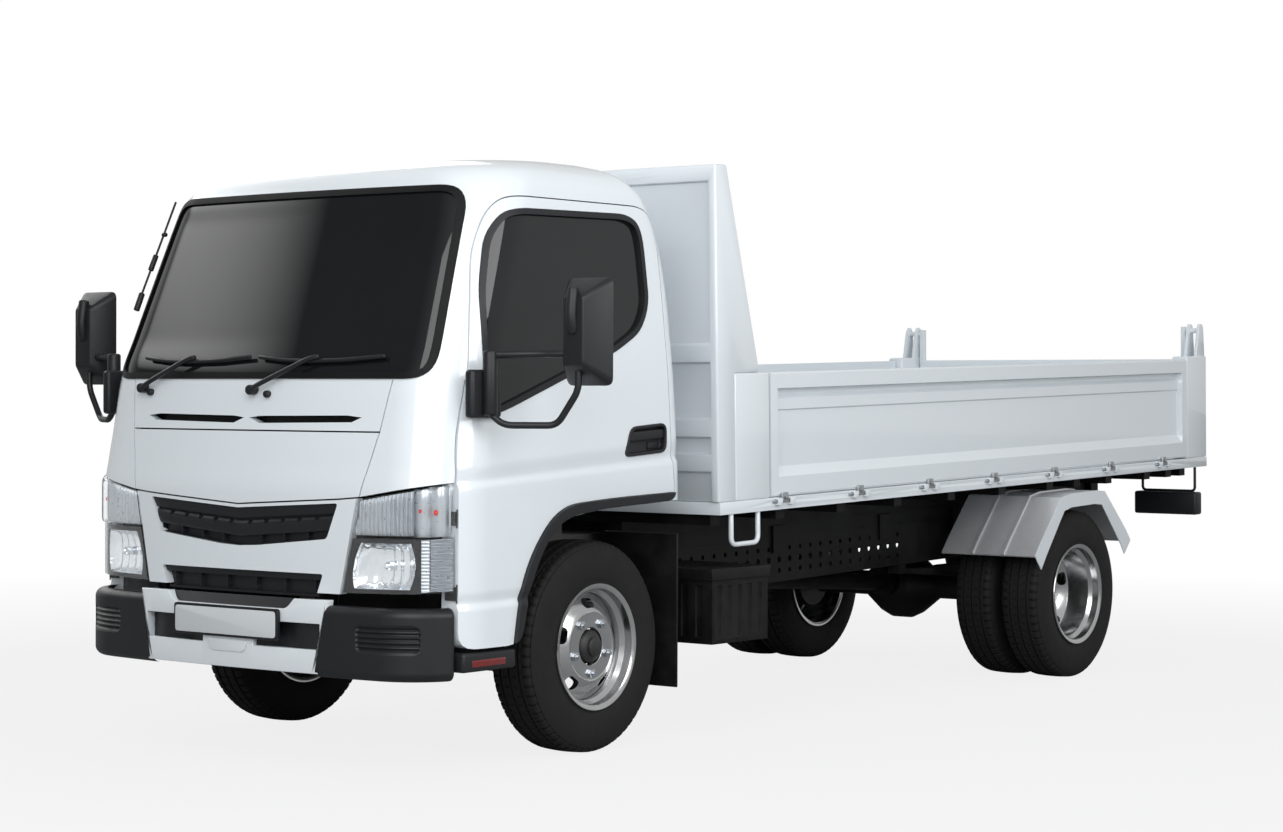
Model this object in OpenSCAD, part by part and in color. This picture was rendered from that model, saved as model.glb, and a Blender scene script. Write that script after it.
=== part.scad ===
// Cab-over drop-side tipper truck, millimetres, front towards -Y, +Z up.
// Most modules work in axle coordinates: y = 0 is the front axle, z = 0 the ground.

/* [Overall] */
// Bumper face to front axle
front_overhang = 985; // [975:1:1100]
// Front axle to rear axle
wheelbase = 3270; // [2800:10:3800]
// Rearward rise of the frame and bed, unladen, in degrees
rake = 1.43; // [0:0.01:3]

/* [Wheels] */
// Tyre outside diameter
tyre_d = 729; // [680:1:780]
// Tyre section width
tyre_w = 195; // [170:1:220]
// Rim flange diameter
rim_d = 436; // [400:1:460]
// Outer face of the front tyres from the centre line
front_face_x = 786; // [740:1:820]
// Outer face of the outer rear tyres from the centre line
rear_face_x = 881; // [840:1:920]
// Pitch between the twin rear tyres
dual_pitch = 225; // [215:1:260]
// Kingpin from the centre line
kingpin_x = 585; // [560:1:610]

/* [Cab] */
// Cab width over the doors
cab_w = 1696; // [1600:2:1900]
// Plan radius of the cab's front corners
corner_r = 250; // [200:5:300]
// Plan radius of the cab's bowed front
bow_r = 5200; // [3000:100:9000]
// Thickness of the roof, pillars and back wall
cab_wall = 45; // [30:1:60]
// Thickness of a whole door
door_t = 60; // [50:1:80]
// Seam round the doors
door_gap = 8; // [6:0.5:12]
// Seam between the fixed front panels
panel_gap = 5; // [3:0.5:8]
// Thickness of the front panels
panel_t = 38; // [25:1:45]
// Thickness of the glass
glass_t = 6; // [4:0.5:8]
// Depth of the glass below the skin
glass_in = 9; // [4:1:20]
// Height of the windscreen's lower edge
screen_z = 1281; // [1240:1:1320]
// Height of the windscreen's upper edge
screen_top_z = 1908; // [1860:1:1930]
// Height of the seat deck's top
deck_z = 900; // [880:1:940]
// Cab tilt pin behind the front axle (negative is ahead)
tilt_y = -860; // [-880:1:-830]
// Height of the cab tilt pin
tilt_z = 580; // [560:1:600]

/* [Frame] */
// Half width over the frame rails
rail_x = 350; // [330:1:370]
// Depth of a frame rail
rail_h = 178; // [150:1:200]
// Flange width of a frame rail
rail_flange = 60; // [50:1:70]
// Gauge of a frame rail
rail_t = 6; // [5:0.5:10]
// Height of the rails' lower face at the front axle
rail_z = 431; // [410:1:450]
// Depth of the tipper sub-frame on the rails
sub_h = 56; // [40:1:80]

/* [Bed] */
// Width over the side gates
bed_w = 1640; // [1560:2:1760]
// Headboard's front face behind the front axle
bed_y0 = 680; // [650:5:720]
// Bed's tail behind the rear axle
bed_tail = 1415; // [1300:5:1500]
// Height of the bed floor's top over the raked ground line
floor_z = 820; // [800:1:860]
// Height of the side gates' top
gate_top = 1285; // [1200:1:1400]
// Thickness of a gate
gate_t = 45; // [30:1:60]
// Height of the headboard's top
head_top = 2037; // [1700:1:2200]
// Clearance at the gates' ends and feet
gate_gap = 8; // [6:0.5:14]
// Hinges on each side gate
gate_hinges = 7; // [4:1:9]
// Bed hinge behind the rear axle
bed_pin_back = 1130; // [1080:5:1180]
// Bed hinge height
bed_pin_z = 690; // [680:1:700]

/* [Fits] */
// Gap between seated pieces
seat = 0.4; // [0.3:0.1:0.8]
// Radial clearance of a running pin
run = 0.5; // [0.3:0.1:1]

/* [Hidden] */
$fn = 48;
axle_z = tyre_d / 2;
cab_hw = cab_w / 2;
door_x0 = cab_hw - 143;
jamb_x0 = door_x0 - 15;
bed_hw = bed_w / 2;
bed_y1 = wheelbase + bed_tail;
bed_pin_y = wheelbase + bed_pin_back;
floor_t = 45;
tail_y = bed_y1 * cos(rake) - (floor_z - floor_t) * sin(rake);
overall_l = front_overhang + tail_y;
front_axle_y = -overall_l / 2 + front_overhang;
rail_top = rail_z + rail_h;
sub_top = rail_top + sub_h;
bearer_h = 40;
bearer_z = floor_z - floor_t - bearer_h;
post_l = 205;
post_w = 79;
front_post_y = bed_y0 + 110;
gate_y0 = front_post_y + post_l + 15 + gate_gap;
gate_y1 = bed_y1 - post_l - gate_gap;
gate_z0 = floor_z + 6;
gate_pin_x = bed_hw + 6;
gate_pin_z = floor_z - 14;
tail_pin_y = bed_y1 - 33;
tail_pin_z = gate_top + 135;
hoist_y = bed_pin_y - 600;
hoist_z = bed_pin_z - 400;
hoist_eye_y = bed_pin_y - 750;
hoist_eye_z = bed_pin_z - 20;
hoist_l = norm([hoist_eye_y - hoist_y, hoist_eye_z - hoist_z]);
hoist_tilt = atan2(hoist_eye_z - hoist_z, hoist_eye_y - hoist_y);
hand = [1, -1];
black = [0.06, 0.06, 0.065];
white = [0.9, 0.91, 0.92];
steel = [0.7, 0.71, 0.72];

// Cab skin: plan sections from the sill to the roof, widths scaled to cab_w
SEC_Z = 0;
SEC_FRONT = 1;
SEC_HALF = 2;
SEC_REAR = 3;
screen_slope = 0.3975;
function screen_y(z) = -874 + (z - 1280) * screen_slope;
cab_sections = [
    [400, -938, 1, 420],
    [900, -938, 1, 420],
    [1000, -922, 0.998, 418],
    [1100, -905, 0.992, 416],
    [1280, screen_y(1280), 0.983, 410],
    [1420, screen_y(1420), 0.97, 405],
    [1560, screen_y(1560), 0.955, 399],
    [1700, screen_y(1700), 0.939, 381],
    [1820, screen_y(1820), 0.923, 350],
    [1914, screen_y(1914), 0.901, 305],
    [1966, -575, 0.862, 262],
    [2003, -470, 0.79, 215],
    [2022, -310, 0.7, 165]
];
rear_r = 70;

function bow(x) = x * x / (2 * bow_r);
function half_plan(yf, w, yr, rf, rr) =
    let (t0 = atan((w - rf) / bow_r))
    let (x1 = w - rf + rf * sin(t0))
    let (yc = yf + bow(x1) + rf * cos(t0))
    concat(
        [for (i = [0:4]) [x1 * i / 5, yf + bow(x1 * i / 5)]],
        [for (i = [0:9]) let (t = t0 + (90 - t0) * i / 9) [w - rf + rf * sin(t), yc - rf * cos(t)]],
        [for (i = [0:4]) let (t = 90 * i / 4) [w - rr + rr * cos(t), yr - rr + rr * sin(t)]]
    );
function flip(pts) = [for (i = [len(pts) - 1:-1:0]) [-pts[i][0], pts[i][1]]];
function plan(yf, w, yr, rf, rr) =
    let (h = half_plan(yf, w, yr, rf, rr))
    concat(h, flip([for (i = [1:len(h) - 1]) h[i]]));

module cab_slice(s, inset) {
    up = s[SEC_Z] > 2010 ? -inset : 0;
    translate([0, 0, s[SEC_Z] + up])
        linear_extrude(0.5)
            polygon(plan(
                s[SEC_FRONT] + inset,
                s[SEC_HALF] * cab_hw - inset,
                s[SEC_REAR] - inset,
                corner_r - inset,
                max(rear_r - inset, 15)
            ));
}

module cab_body(inset) {
    last = len(cab_sections) - 2;
    for (i = [0:last])
        hull() {
            cab_slice(cab_sections[i], inset);
            cab_slice(cab_sections[i + 1], inset);
        }
}

module cab_skin(outside, inside) {
    difference() {
        cab_body(outside);
        translate([0, 0, -0.1])
            cab_body(inside);
        translate([-1000, -1200, 300])
            cube([2000, 2000, 101]);
    }
}

module axles() {
    translate([0, front_axle_y, 0])
        children();
}

module raked() {
    axles()
        rotate([rake, 0, 0])
            children();
}

module box(x0, x1, y0, y1, z0, z1) {
    translate([x0, y0, z0])
        cube([x1 - x0, y1 - y0, z1 - z0]);
}

module both() {
    children();
    mirror([1, 0, 0])
        children();
}

module rod_x(x0, x1, y, z, r) {
    translate([x0, y, z])
        rotate([0, 90, 0])
            cylinder(r = r, h = x1 - x0);
}

module rod_y(x, y0, y1, z, r) {
    translate([x, y0, z])
        rotate([-90, 0, 0])
            cylinder(r = r, h = y1 - y0);
}

// An outline seen from the front, carried back through the cab
module front_view(y0 = -1200, y1 = -300) {
    translate([0, y1, 0])
        rotate([90, 0, 0])
            linear_extrude(y1 - y0)
                children();
}

// An outline seen from the left, carried across x0 to x1
module side_view(x0, x1) {
    translate([x0, 0, 0])
        rotate([90, 0, 90])
            linear_extrude(x1 - x0)
                children();
}

// Outlines of the cab's openings
seam_x = [[603, screen_z - 10], [575, 1105], [523, 896]];
vee = [[0, 863], [445, 889], [523, 896], [860, 953]];

module door_outline() {
    polygon([
        [-771, 408], [-768, 1000], [-755, 1100], [-672, 1433], [-607, 1689], [-545, 1812],
        [-490, 1866], [-430, 1882], [240, 1882], [300, 1850], [322, 1780], [340, 1064],
        [360, 853], [-72, 835], [-261, 809], [-367, 731], [-450, 588], [-492, 408]
    ]);
}

module arch_band(width) {
    polygon([
        [-492, 408], [-450, 588], [-367, 731], [-261, 809], [-72, 835], [360, 853],
        [360, 853 + width], [-80, 836 + width], [-272, 811 + width], [-367 - width * 0.8, 731 + width * 0.6],
        [-450 - width, 588 + width * 0.4], [-492 - width, 408]
    ]);
}

module door_window() {
    polygon([
        [-668, 1150], [-612, 1563], [-556, 1742], [-490, 1818], [-420, 1836], [150, 1846],
        [215, 1822], [236, 1760], [244, 1540], [186, 1446], [44, 1377], [-300, 1263], [-540, 1183]
    ]);
}

module screen_outline() {
    polygon([
        [-696, screen_z], [696, screen_z], [730, screen_z + 40], [674, 1862], [632, screen_top_z],
        [-632, screen_top_z], [-674, 1862], [-730, screen_z + 40]
    ]);
}

module rear_window_outline() {
    translate([-420, 1420])
        square([840, 330]);
}

module centre_outline() {
    polygon(concat(
        seam_x,
        [vee[1], vee[0], [-vee[1][0], vee[1][1]]],
        flip(seam_x)
    ));
}

module corner_outline() {
    polygon([
        seam_x[0] + [panel_gap, 0], [900, screen_z - 10], [900, vee[3][1] + 7], vee[3],
        seam_x[2] + [panel_gap, 0], seam_x[1] + [panel_gap, 0]
    ]);
}

module lamp_outline() {
    polygon([
        [519, 896 - panel_gap], [900, vee[3][1] + 2], [900, 596], [640, 588], [453, 580]
    ]);
}

module nose_outline() {
    polygon([
        [0, vee[0][1] - panel_gap], [445, 889 - panel_gap], [512, 895 - panel_gap], [447, 580],
        [-447, 580], [-512, 895 - panel_gap], [-445, 889 - panel_gap]
    ]);
}

module upper_grille_outline() {
    polygon([
        [0, 848], [438, 873], [392, 756], [90, 726], [0, 722], [-90, 726], [-392, 756], [-438, 873]
    ]);
}

module lower_grille_outline() {
    polygon([[-378, 642], [378, 642], [350, 596], [-350, 596]]);
}

module slot_outline() {
    polygon([[10, 1146], [60, 1128], [460, 1134], [500, 1150], [440, 1156], [60, 1152]]);
}

// Chassis

module frame_rail() {
    difference() {
        box(rail_x - rail_flange, rail_x, -800, bed_pin_y - 20, rail_z, rail_top);
        box(
            rail_x - rail_flange - 1, rail_x - rail_t,
            -801, bed_pin_y, rail_z + rail_t, rail_top - rail_t
        );
        for (i = [0:21], row = [0:2])
            rod_x(
                rail_x - 20, rail_x + 20,
                1080 + 75 * i, rail_z + rail_h * (0.25 + 0.25 * row), row == 1 ? 13 : 10
            );
    }
}

module frame_rails() {
    color(black)
        raked()
            both()
                frame_rail();
}

cross_y = [1000, 1560, wheelbase - 890, wheelbase - 370, bed_pin_y - 80];
tilt_yl = tilt_y * cos(rake) + tilt_z * sin(rake);
tilt_zl = tilt_z * cos(rake) - tilt_y * sin(rake);
tilt_r = 20;
tilt_hub_r = tilt_r + 12;
tilt_front = 12;
hoist_plate_x = rail_x - rail_flange - seat;

module cross_members() {
    color(black)
        raked() {
            for (y = cross_y)
                box(-rail_x + rail_t + seat, rail_x - rail_t - seat, y - 35, y + 35, rail_top - 69, rail_top - 9);
            rod_x(-rail_x + 14, rail_x - 14, tilt_yl, tilt_zl, tilt_r);
            both() {
                box(rail_x - rail_flange, rail_x - 8, tilt_yl - tilt_front, -800 - seat, rail_z + 6, tilt_zl + tilt_r - 4);
                box(hoist_plate_x - 28, hoist_plate_x, hoist_y - 50, hoist_y + 50, hoist_z - 75, rail_top - 9);
                box(75, 91, hoist_y - 38, hoist_y + 38, hoist_z - 26, hoist_z + 38);
            }
            box(-hoist_plate_x, hoist_plate_x, hoist_y - 50, hoist_y + 50, hoist_z - 75, hoist_z - 50);
            both()
                box(75, 91, hoist_y - 38, hoist_y + 38, hoist_z - 51, hoist_z - 25);
            rod_x(-91, 91, hoist_y, hoist_z, 18);
        }
}

boss_r = 32;
bed_pin_r = 15;

module subframe() {
    color(black)
        raked()
            both() {
                difference() {
                    union() {
                        box(rail_x - rail_flange, rail_x, bed_y0 + 40, bed_pin_y - 12, rail_top + seat, sub_top);
                        rod_x(rail_x - rail_flange, rail_x, bed_pin_y, bed_pin_z, boss_r);
                        box(rail_x - rail_flange, rail_x, bed_pin_y - 32, bed_pin_y + 26, rail_top + seat, bed_pin_z - 10);
                    }
                    rod_x(rail_x - 100, rail_x + 40, bed_pin_y, bed_pin_z, bed_pin_r + run);
                }
                for (y = [900, 1700, 2500, 3100])
                    box(rail_x + seat, rail_x + 10, y, y + 90, rail_top - 60, rail_top - 14);
                for (y = [900, 1700, 2500, 3100])
                    box(rail_x - 2, rail_x + 10, y, y + 90, rail_top + 2, sub_top - 8);
                for (y = [900, 1700, 2500, 3100])
                    box(rail_x + seat, rail_x + 10, y, y + 90, rail_top - 20, rail_top + 10);
            }
}

module engine() {
    color([0.3, 0.3, 0.31])
        axles() {
            box(-240, 240, -400, 480, 345, deck_z - 60);
            box(-165, 165, 470, 860, 400, 700);
            both()
                box(230, rail_x - rail_t - seat, -60, 40, 470, 530);
        }
}

shaft_z0 = 520;
shaft_z1 = axle_z + 20;

module drive_shaft() {
    y0 = 868;
    y1 = wheelbase - 172;
    color(black)
        axles()
            translate([0, y0, shaft_z0])
                rotate([-90 + atan((shaft_z1 - shaft_z0) / (y1 - y0)), 0, 0]) {
                    cylinder(r = 36, h = y1 - y0);
                    cylinder(r = 62, h = 40);
                    translate([0, 0, y1 - y0 - 40])
                        cylinder(r = 62, h = 40);
                }
}

pin_boss_r = 35;
pin_r = 16;

module front_axle() {
    color(black)
        axles() {
            difference() {
                union() {
                    box(-440, 440, -34, 34, 255, 325);
                    both() {
                        box(400, 440, -34, 34, 255, axle_z + 38);
                        box(400, kingpin_x, -30, 30, axle_z - 34, axle_z + 38);
                        translate([kingpin_x, 0, axle_z - 38])
                            cylinder(r = pin_boss_r, h = 78);
                    }
                }
                both()
                    translate([kingpin_x, 0, axle_z - 60])
                        cylinder(r = pin_r + run, h = 120);
                for (y = [-60, 20])
                    box(-380, 380, y, y + 40, 270, 310);
            }
        }
}

spindle_r = 28;
knuckle_x = kingpin_x + 50;
hub_in = front_face_x - 60;

module knuckle_shape() {
    translate([kingpin_x, 0, axle_z - 80])
        cylinder(r = pin_r, h = 160);
    for (z = [axle_z - 80, axle_z + 42])
        difference() {
            union() {
                translate([kingpin_x, 0, z])
                    cylinder(r = pin_boss_r, h = 38);
                box(kingpin_x, knuckle_x + 25, -pin_boss_r, pin_boss_r, z, z + 38);
            }
        }
    box(knuckle_x, knuckle_x + 25, -70, 70, axle_z - 80, axle_z + 80);
    rod_x(knuckle_x, front_face_x - 30, 0, axle_z, spindle_r);
    box(kingpin_x - 40, kingpin_x + 30, 30, 170, axle_z - 80, axle_z - 58);
}

module left_knuckle() {
    color(black)
        axles()
            knuckle_shape();
}

module right_knuckle() {
    color(black)
        axles()
            mirror([1, 0, 0])
                knuckle_shape();
}

stub_r = 45;
tube_x = rear_face_x - dual_pitch - tyre_w - 12;
stub_x = rear_face_x - 190;

module rear_axle() {
    color(black)
        axles()
            translate([0, wheelbase, axle_z]) {
                rotate([0, 90, 0])
                    rotate_extrude()
                        polygon([
                            [0, -stub_x], [stub_r, -stub_x], [stub_r, -tube_x], [55, -tube_x], [55, -185],
                            [128, -85], [148, -40], [148, 40], [128, 85], [55, 185], [55, tube_x], [stub_r, tube_x],
                            [stub_r, stub_x], [0, stub_x]
                        ]);
                translate([0, -170, shaft_z1 - axle_z])
                    rotate([-90, 0, 0])
                        cylinder(r = 60, h = 120);
            }
}

spring_x = rail_x - rail_flange / 2;
spring_w = rail_flange - 4;

module spring(y, z, rise, span, thick) {
    translate([spring_x - spring_w / 2, y, z])
        rotate([90, 0, 90])
            linear_extrude(spring_w)
                polygon([
                    [-span, rise], [-span + 40, rise - 6], [-200, 10], [-90, 0], [90, 0], [200, 10],
                    [span - 40, rise - 6], [span, rise], [span, rise + 14], [span * 0.6, rise * 0.55 + 26],
                    [200, thick], [-200, thick], [-span * 0.6, rise * 0.55 + 26], [-span, rise + 14]
                ]);
}

module hanger(y, z0) {
    top = rail_z / cos(rake) + (y - 25) * tan(rake) - seat;
    box(spring_x - spring_w / 2 - 1, spring_x + spring_w / 2 + 1, y - 25, y + 25, z0, top);
}

module leaf_springs() {
    color(black)
        axles()
            both() {
                spring(0, 325 + seat, 52, 520, 46);
                hanger(-505, 325 + 44);
                hanger(505, 325 + 44);
                spring(wheelbase, axle_z + 55 + seat, 44, 600, 58);
                hanger(wheelbase - 585, axle_z + 55 + 38);
                hanger(wheelbase + 585, axle_z + 55 + 38);
            }
}

module battery_box() {
    color(black)
        axles()
            difference() {
                union() {
                    box(430, 800, 650, 1005, 325, 560);
                    box(422, 806, 642, 1013, 556, 598);
                    for (y = [690, 940])
                        box(rail_x + seat, 440, y, y + 30, 470, 530);
                }
                for (i = [0:4])
                    box(794, 810, 680 + 64 * i, 708 + 64 * i, 350, 535);
                for (i = [0:4])
                    box(470 + 64 * i, 498 + 64 * i, 640, 656, 350, 535);
            }
}

module fuel_tank() {
    color(black)
        axles()
            mirror([1, 0, 0]) {
                translate([435, 680, 310])
                    rotate([-90, 0, 0])
                        linear_extrude(700)
                            polygon([
                                [30, 0], [330, 0], [360, -30], [360, -220], [330, -250], [30, -250],
                                [0, -220], [0, -30]
                            ]);
                for (y = [760, 1250])
                    box(rail_x + seat, 440, y, y + 40, 480, 540);
                translate([720, 1030, 540])
                    cylinder(r = 38, h = 50);
            }
}

module exhaust() {
    color([0.35, 0.34, 0.33])
        axles()
            mirror([1, 0, 0]) {
                rod_y(520, 1560, 2160, 430, 105);
                rod_y(520, 2150, wheelbase - 650, 430, 28);
                rod_y(520, 1480, 1570, 430, 28);
                for (y = [1640, 2060])
                    box(rail_x + seat, 530, y, y + 30, 490, 540);
            }
}

// Nose: bumper and its corners

bumper_y = -front_overhang;
bumper_t = 35;
bumper_x = 440;
bumper_hw = 828;

module bumper_ring(z0, z1) {
    translate([0, 0, z0])
        linear_extrude(z1 - z0)
            difference() {
                polygon(plan(bumper_y, bumper_hw, 0, 230, 20));
                polygon(plan(bumper_y + bumper_t, bumper_hw - bumper_t, 40, 230 - bumper_t, 20));
            }
}

module front_bumper() {
    color(white)
        axles() {
            difference() {
                bumper_ring(322, 562);
                for (s = hand)
                    front_view()
                        polygon([
                            [s * bumper_x, 600], [s * 900, 600], [s * 900, 300], [s * (bumper_x - 46), 300]
                        ]);
                box(-900, 900, -800, 100, 300, 600);
                box(118, 405, -1100, -800, 400, 484);
                box(-405, -118, -1100, -800, 400, 484);
            }
        }
    color(white)
        raked()
            both()
                box(rail_x - 50, rail_x - 10, -938, tilt_yl - tilt_front - seat, 512, 538);
}

module bumper_corners() {
    color(black)
        axles()
            both()
                difference() {
                    bumper_ring(311, 545);
                    front_view(y1 = 200)
                        polygon([
                            [bumper_x + seat, 600], [-1000, 600], [-1000, 300], [bumper_x - 46 + seat, 300]
                        ]);
                    box(-900, 900, -777, 100, 300, 600);
                    for (i = [0:4])
                        box(560, 760, -1100, bumper_y + 42 + 8 * i, 404 + 18 * i, 412 + 18 * i);
                }
}

module front_mudguards() {
    color(black)
        axles()
            both() {
                box(470, 800, 436, 444, 190, 735);
                box(rail_x + seat, 480, 436, 470, 500, 560);
            }
}

guard_x0 = rear_face_x - dual_pitch - tyre_w - 14;
guard_x1 = rear_face_x + 19;
guard_line = [[-426, 547], [-380, 600], [-197, 789], [-120, 803], [120, 811], [196, 806], [400, 628], [444, 580]];
function shift(pts, d) = [for (p = pts) [p[0] * (1 - d / 460), p[1] - d]];

module rear_mudguards() {
    color(steel)
        axles()
            both() {
                translate([0, wheelbase, 0])
                    side_view(guard_x0, guard_x1)
                        polygon(concat(guard_line, [for (i = [len(guard_line) - 1:-1:0]) shift(guard_line, 7)[i]]));
                rod_x(rail_x + seat, guard_x1 - 60, wheelbase - 371, 602, 15);
                rod_x(rail_x + seat, guard_x1 - 60, wheelbase + 396, 624, 15);
            }
}

// Cab body

module cab_shell() {
    color(white)
        axles()
            difference() {
                union() {
                    difference() {
                        cab_skin(0, cab_wall);
                        box(-1000, 1000, -1200, -400, 380, screen_z - 10);
                        box(-1000, 1000, -1200, 352, 380, 853);
                        for (s = hand)
                            side_view(min(s * jamb_x0, s * 1000), max(s * jamb_x0, s * 1000))
                                door_outline();
                    }
                    intersection() {
                        cab_skin(panel_t + seat, panel_t + 34);
                        difference() {
                            box(-1000, 1000, -1200, -650, 640, screen_z + 12);
                            for (s = hand)
                                side_view(min(s * 300, s * 1000), max(s * 300, s * 1000))
                                    offset(delta = door_gap)
                                        door_outline();
                        }
                    }
                }
                front_view(y1 = -350)
                    screen_outline();
                front_view(y0 = 200, y1 = 600)
                    rear_window_outline();
                box(-1000, 1000, -600, 500, 380, 857);
            }
}

module cab_floor() {
    color([0.2, 0.2, 0.21])
        axles()
            difference() {
                union() {
                    translate([0, 0, 615])
                        linear_extrude(35)
                            polygon([
                                [-600, -812], [600, -812], [700, -750], [770, -660], [770, -500], [-770, -500],
                                [-770, -660], [-700, -750]
                            ]);
                    box(-770, 770, -505, -465, 615, deck_z);
                    box(-770, 770, -505, 420 - cab_wall - seat, deck_z - 40, deck_z);
                    both()
                        box(150, 215, tilt_y - 20, -780, tilt_z + 16, 636);
                    both()
                        rod_x(150, 215, tilt_y, tilt_z, tilt_hub_r);
                }
                rod_x(-260, 260, tilt_y, tilt_z, tilt_r + run);
                both()
                    box(140, 225, tilt_y - 60, tilt_y + 60, tilt_z - 60, tilt_z);
            }
    color(steel)
        axles()
            both()
                door_hinges();
}

module front_panel() {
    color(white)
        axles()
            difference() {
                intersection() {
                    cab_skin(0, panel_t);
                    front_view()
                        centre_outline();
                }
                intersection() {
                    cab_skin(-20, 14);
                    front_view() {
                        slot_outline();
                        translate([-25, 0])
                            mirror([1, 0])
                                slot_outline();
                        translate([-600, 1101])
                            square([1200, 5]);
                    }
                }
            }
}

module corner_panels() {
    color(white)
        axles()
            both()
                difference() {
                    intersection() {
                        cab_skin(0, panel_t);
                        front_view(y1 = -500)
                            corner_outline();
                    }
                    side_view(300, 1000)
                        offset(delta = door_gap)
                            door_outline();
                    box(300, 1000, -600, -300, 300, 1400);
                }
}

module grille_panel() {
    color(white)
        axles()
            difference() {
                intersection() {
                    cab_skin(0, panel_t);
                    front_view(y1 = -700)
                        nose_outline();
                }
                front_view() {
                    upper_grille_outline();
                    lower_grille_outline();
                }
            }
}

module grille() {
    color(black)
        axles()
            difference() {
                intersection() {
                    cab_skin(14, panel_t);
                    front_view(y1 = -700)
                        offset(delta = -seat) {
                            upper_grille_outline();
                            lower_grille_outline();
                        }
                }
                intersection() {
                    cab_skin(0, 26);
                    front_view()
                        for (i = [0:4])
                            translate([-450, 610 + 58 * i])
                                square([900, 12]);
                }
            }
}

module headlamps() {
    color([0.85, 0.87, 0.9])
        axles()
            both()
                difference() {
                    intersection() {
                        cab_skin(0, panel_t);
                        front_view(y1 = -600)
                            lamp_outline();
                    }
                    side_view(300, 1000)
                        offset(delta = door_gap)
                            door_outline();
                    box(300, 1000, -770, -300, 300, 1400);
                }
}

module cab_glass() {
    color([0.1, 0.12, 0.14])
        axles() {
            intersection() {
                cab_skin(glass_in, glass_in + glass_t);
                front_view(y1 = -350)
                    offset(delta = -seat)
                        screen_outline();
            }
            intersection() {
                cab_skin(glass_in, glass_in + glass_t);
                front_view(y0 = 200, y1 = 600)
                    offset(delta = -seat)
                        rear_window_outline();
            }
        }
}

wiper_px = [-536, 25];
blade_end = [636, 711];

module wipers() {
    color(black)
        axles()
            for (i = [0:1]) {
                px = wiper_px[i];
                end = px + blade_end[i];
                intersection() {
                    cab_skin(-20, -8);
                    front_view(y1 = -600) {
                        polygon([[px - 9, 1236], [px + 9, 1232], [px + 236, 1336], [px + 228, 1350]]);
                        polygon([
                            [px + 90, 1350], [px + 225, 1332], [end, 1344], [end, 1362],
                            [px + 225, 1354], [px + 90, 1364]
                        ]);
                    }
                }
                intersection() {
                    cab_skin(-22, -seat);
                    front_view(y1 = -600)
                        translate([px, 1240])
                            circle(r = 15);
                }
            }
}

module seats() {
    color([0.16, 0.16, 0.17])
        axles()
            for (s = [[-380, 470], [120, 420], [500, 330]]) {
                box(s[0] - s[1] / 2, s[0] + s[1] / 2, -330, 170, deck_z + seat, deck_z + 170);
                translate([s[0] - s[1] / 2, 150, deck_z + 120])
                    rotate([90, 0, 90])
                        linear_extrude(s[1])
                            polygon([[-60, 0], [60, 0], [150, 560], [60, 570]]);
                box(s[0] - 130, s[0] + 130, 235, 305, deck_z + 690, deck_z + 850);
                box(s[0] - 60, s[0] + 60, 255, 285, deck_z + 620, deck_z + 700);
            }
}

module dashboard() {
    color([0.13, 0.13, 0.14])
        axles()
            difference() {
                intersection() {
                    cab_body(panel_t + 34 + seat);
                    side_view(-740, 740)
                        polygon([[-1000, 960], [-640, 960], [-560, 1080], [-590, 1190], [-700, 1235], [-1000, 1235]]);
                }
                translate([wheel_x, wheel_y, wheel_z])
                    rotate([-wheel_tilt, 0, 0])
                        translate([0, 0, -700])
                            cylinder(r = 48, h = 800);
            }
}

// Steering

wheel_x = -370;
wheel_y = -440;
wheel_z = 1205;
wheel_tilt = 32;
wheel_r = 205;
shaft_r = 14;

module steering_column() {
    color(black)
        axles()
            translate([wheel_x, wheel_y, wheel_z])
                rotate([-wheel_tilt, 0, 0])
                    difference() {
                        translate([0, 0, -630])
                            cylinder(r = 38, h = 570);
                        translate([0, 0, -300])
                            cylinder(r = shaft_r + run, h = 300);
                    }
}

module steering_wheel() {
    color(black)
        axles()
            translate([wheel_x, wheel_y, wheel_z])
                rotate([-wheel_tilt, 0, 0]) {
                    rotate_extrude()
                        translate([wheel_r - 14, 0])
                            circle(r = 14);
                    translate([0, 0, -40])
                        cylinder(r = 52, h = 40);
                    translate([0, 0, -280])
                        cylinder(r = shaft_r, h = 250);
                    for (a = [0, 180])
                        rotate([0, 0, a])
                            translate([40, -20, -24])
                                cube([wheel_r - 56, 40, 16]);
                    rotate([0, 0, -90])
                        translate([40, -16, -24])
                            cube([wheel_r - 56, 32, 16]);
                    for (a = [0, 180, -90])
                        rotate([0, 0, a])
                            translate([wheel_r - 34, -16, -24])
                                cube([24, 32, 24]);
                }
}

module sills() {
    color(black)
        axles()
            both()
                box(640, cab_hw - 4, -766, -505 - seat, 338, 400);
    color(black)
        axles()
            both()
                box(640, 690, -660, -505 - seat, 390, 615 - seat);
}

// Doors

handle_x = cab_hw - 26;
door_pin_x = cab_hw - 31.5;
door_pin_y = -769;
door_pin_r = 2.5;

module door_shape() {
    difference() {
        intersection() {
            cab_skin(0, door_t);
            side_view(door_x0, 1000)
                difference() {
                    offset(delta = -door_gap / 2)
                        door_outline();
                    arch_band(34 + seat);
                }
        }
        side_view(300, 1000)
            door_window();
        side_view(handle_x, 1000)
            polygon([[70, 1015], [110, 1112], [306, 1125], [306, 1030]]);
    }
}

module door_hinges() {
    for (z = [560, 800]) {
        translate([door_pin_x, door_pin_y, z])
            cylinder(r = door_pin_r, h = 60);
        box(door_pin_x - 48, door_pin_x, door_pin_y - 3.2, door_pin_y, z + 8, z + 52);
    }
}

module door_glass() {
    intersection() {
        cab_skin(glass_in, glass_in + glass_t);
        side_view(300, 1000)
            offset(delta = -seat)
                door_window();
    }
}

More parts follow.
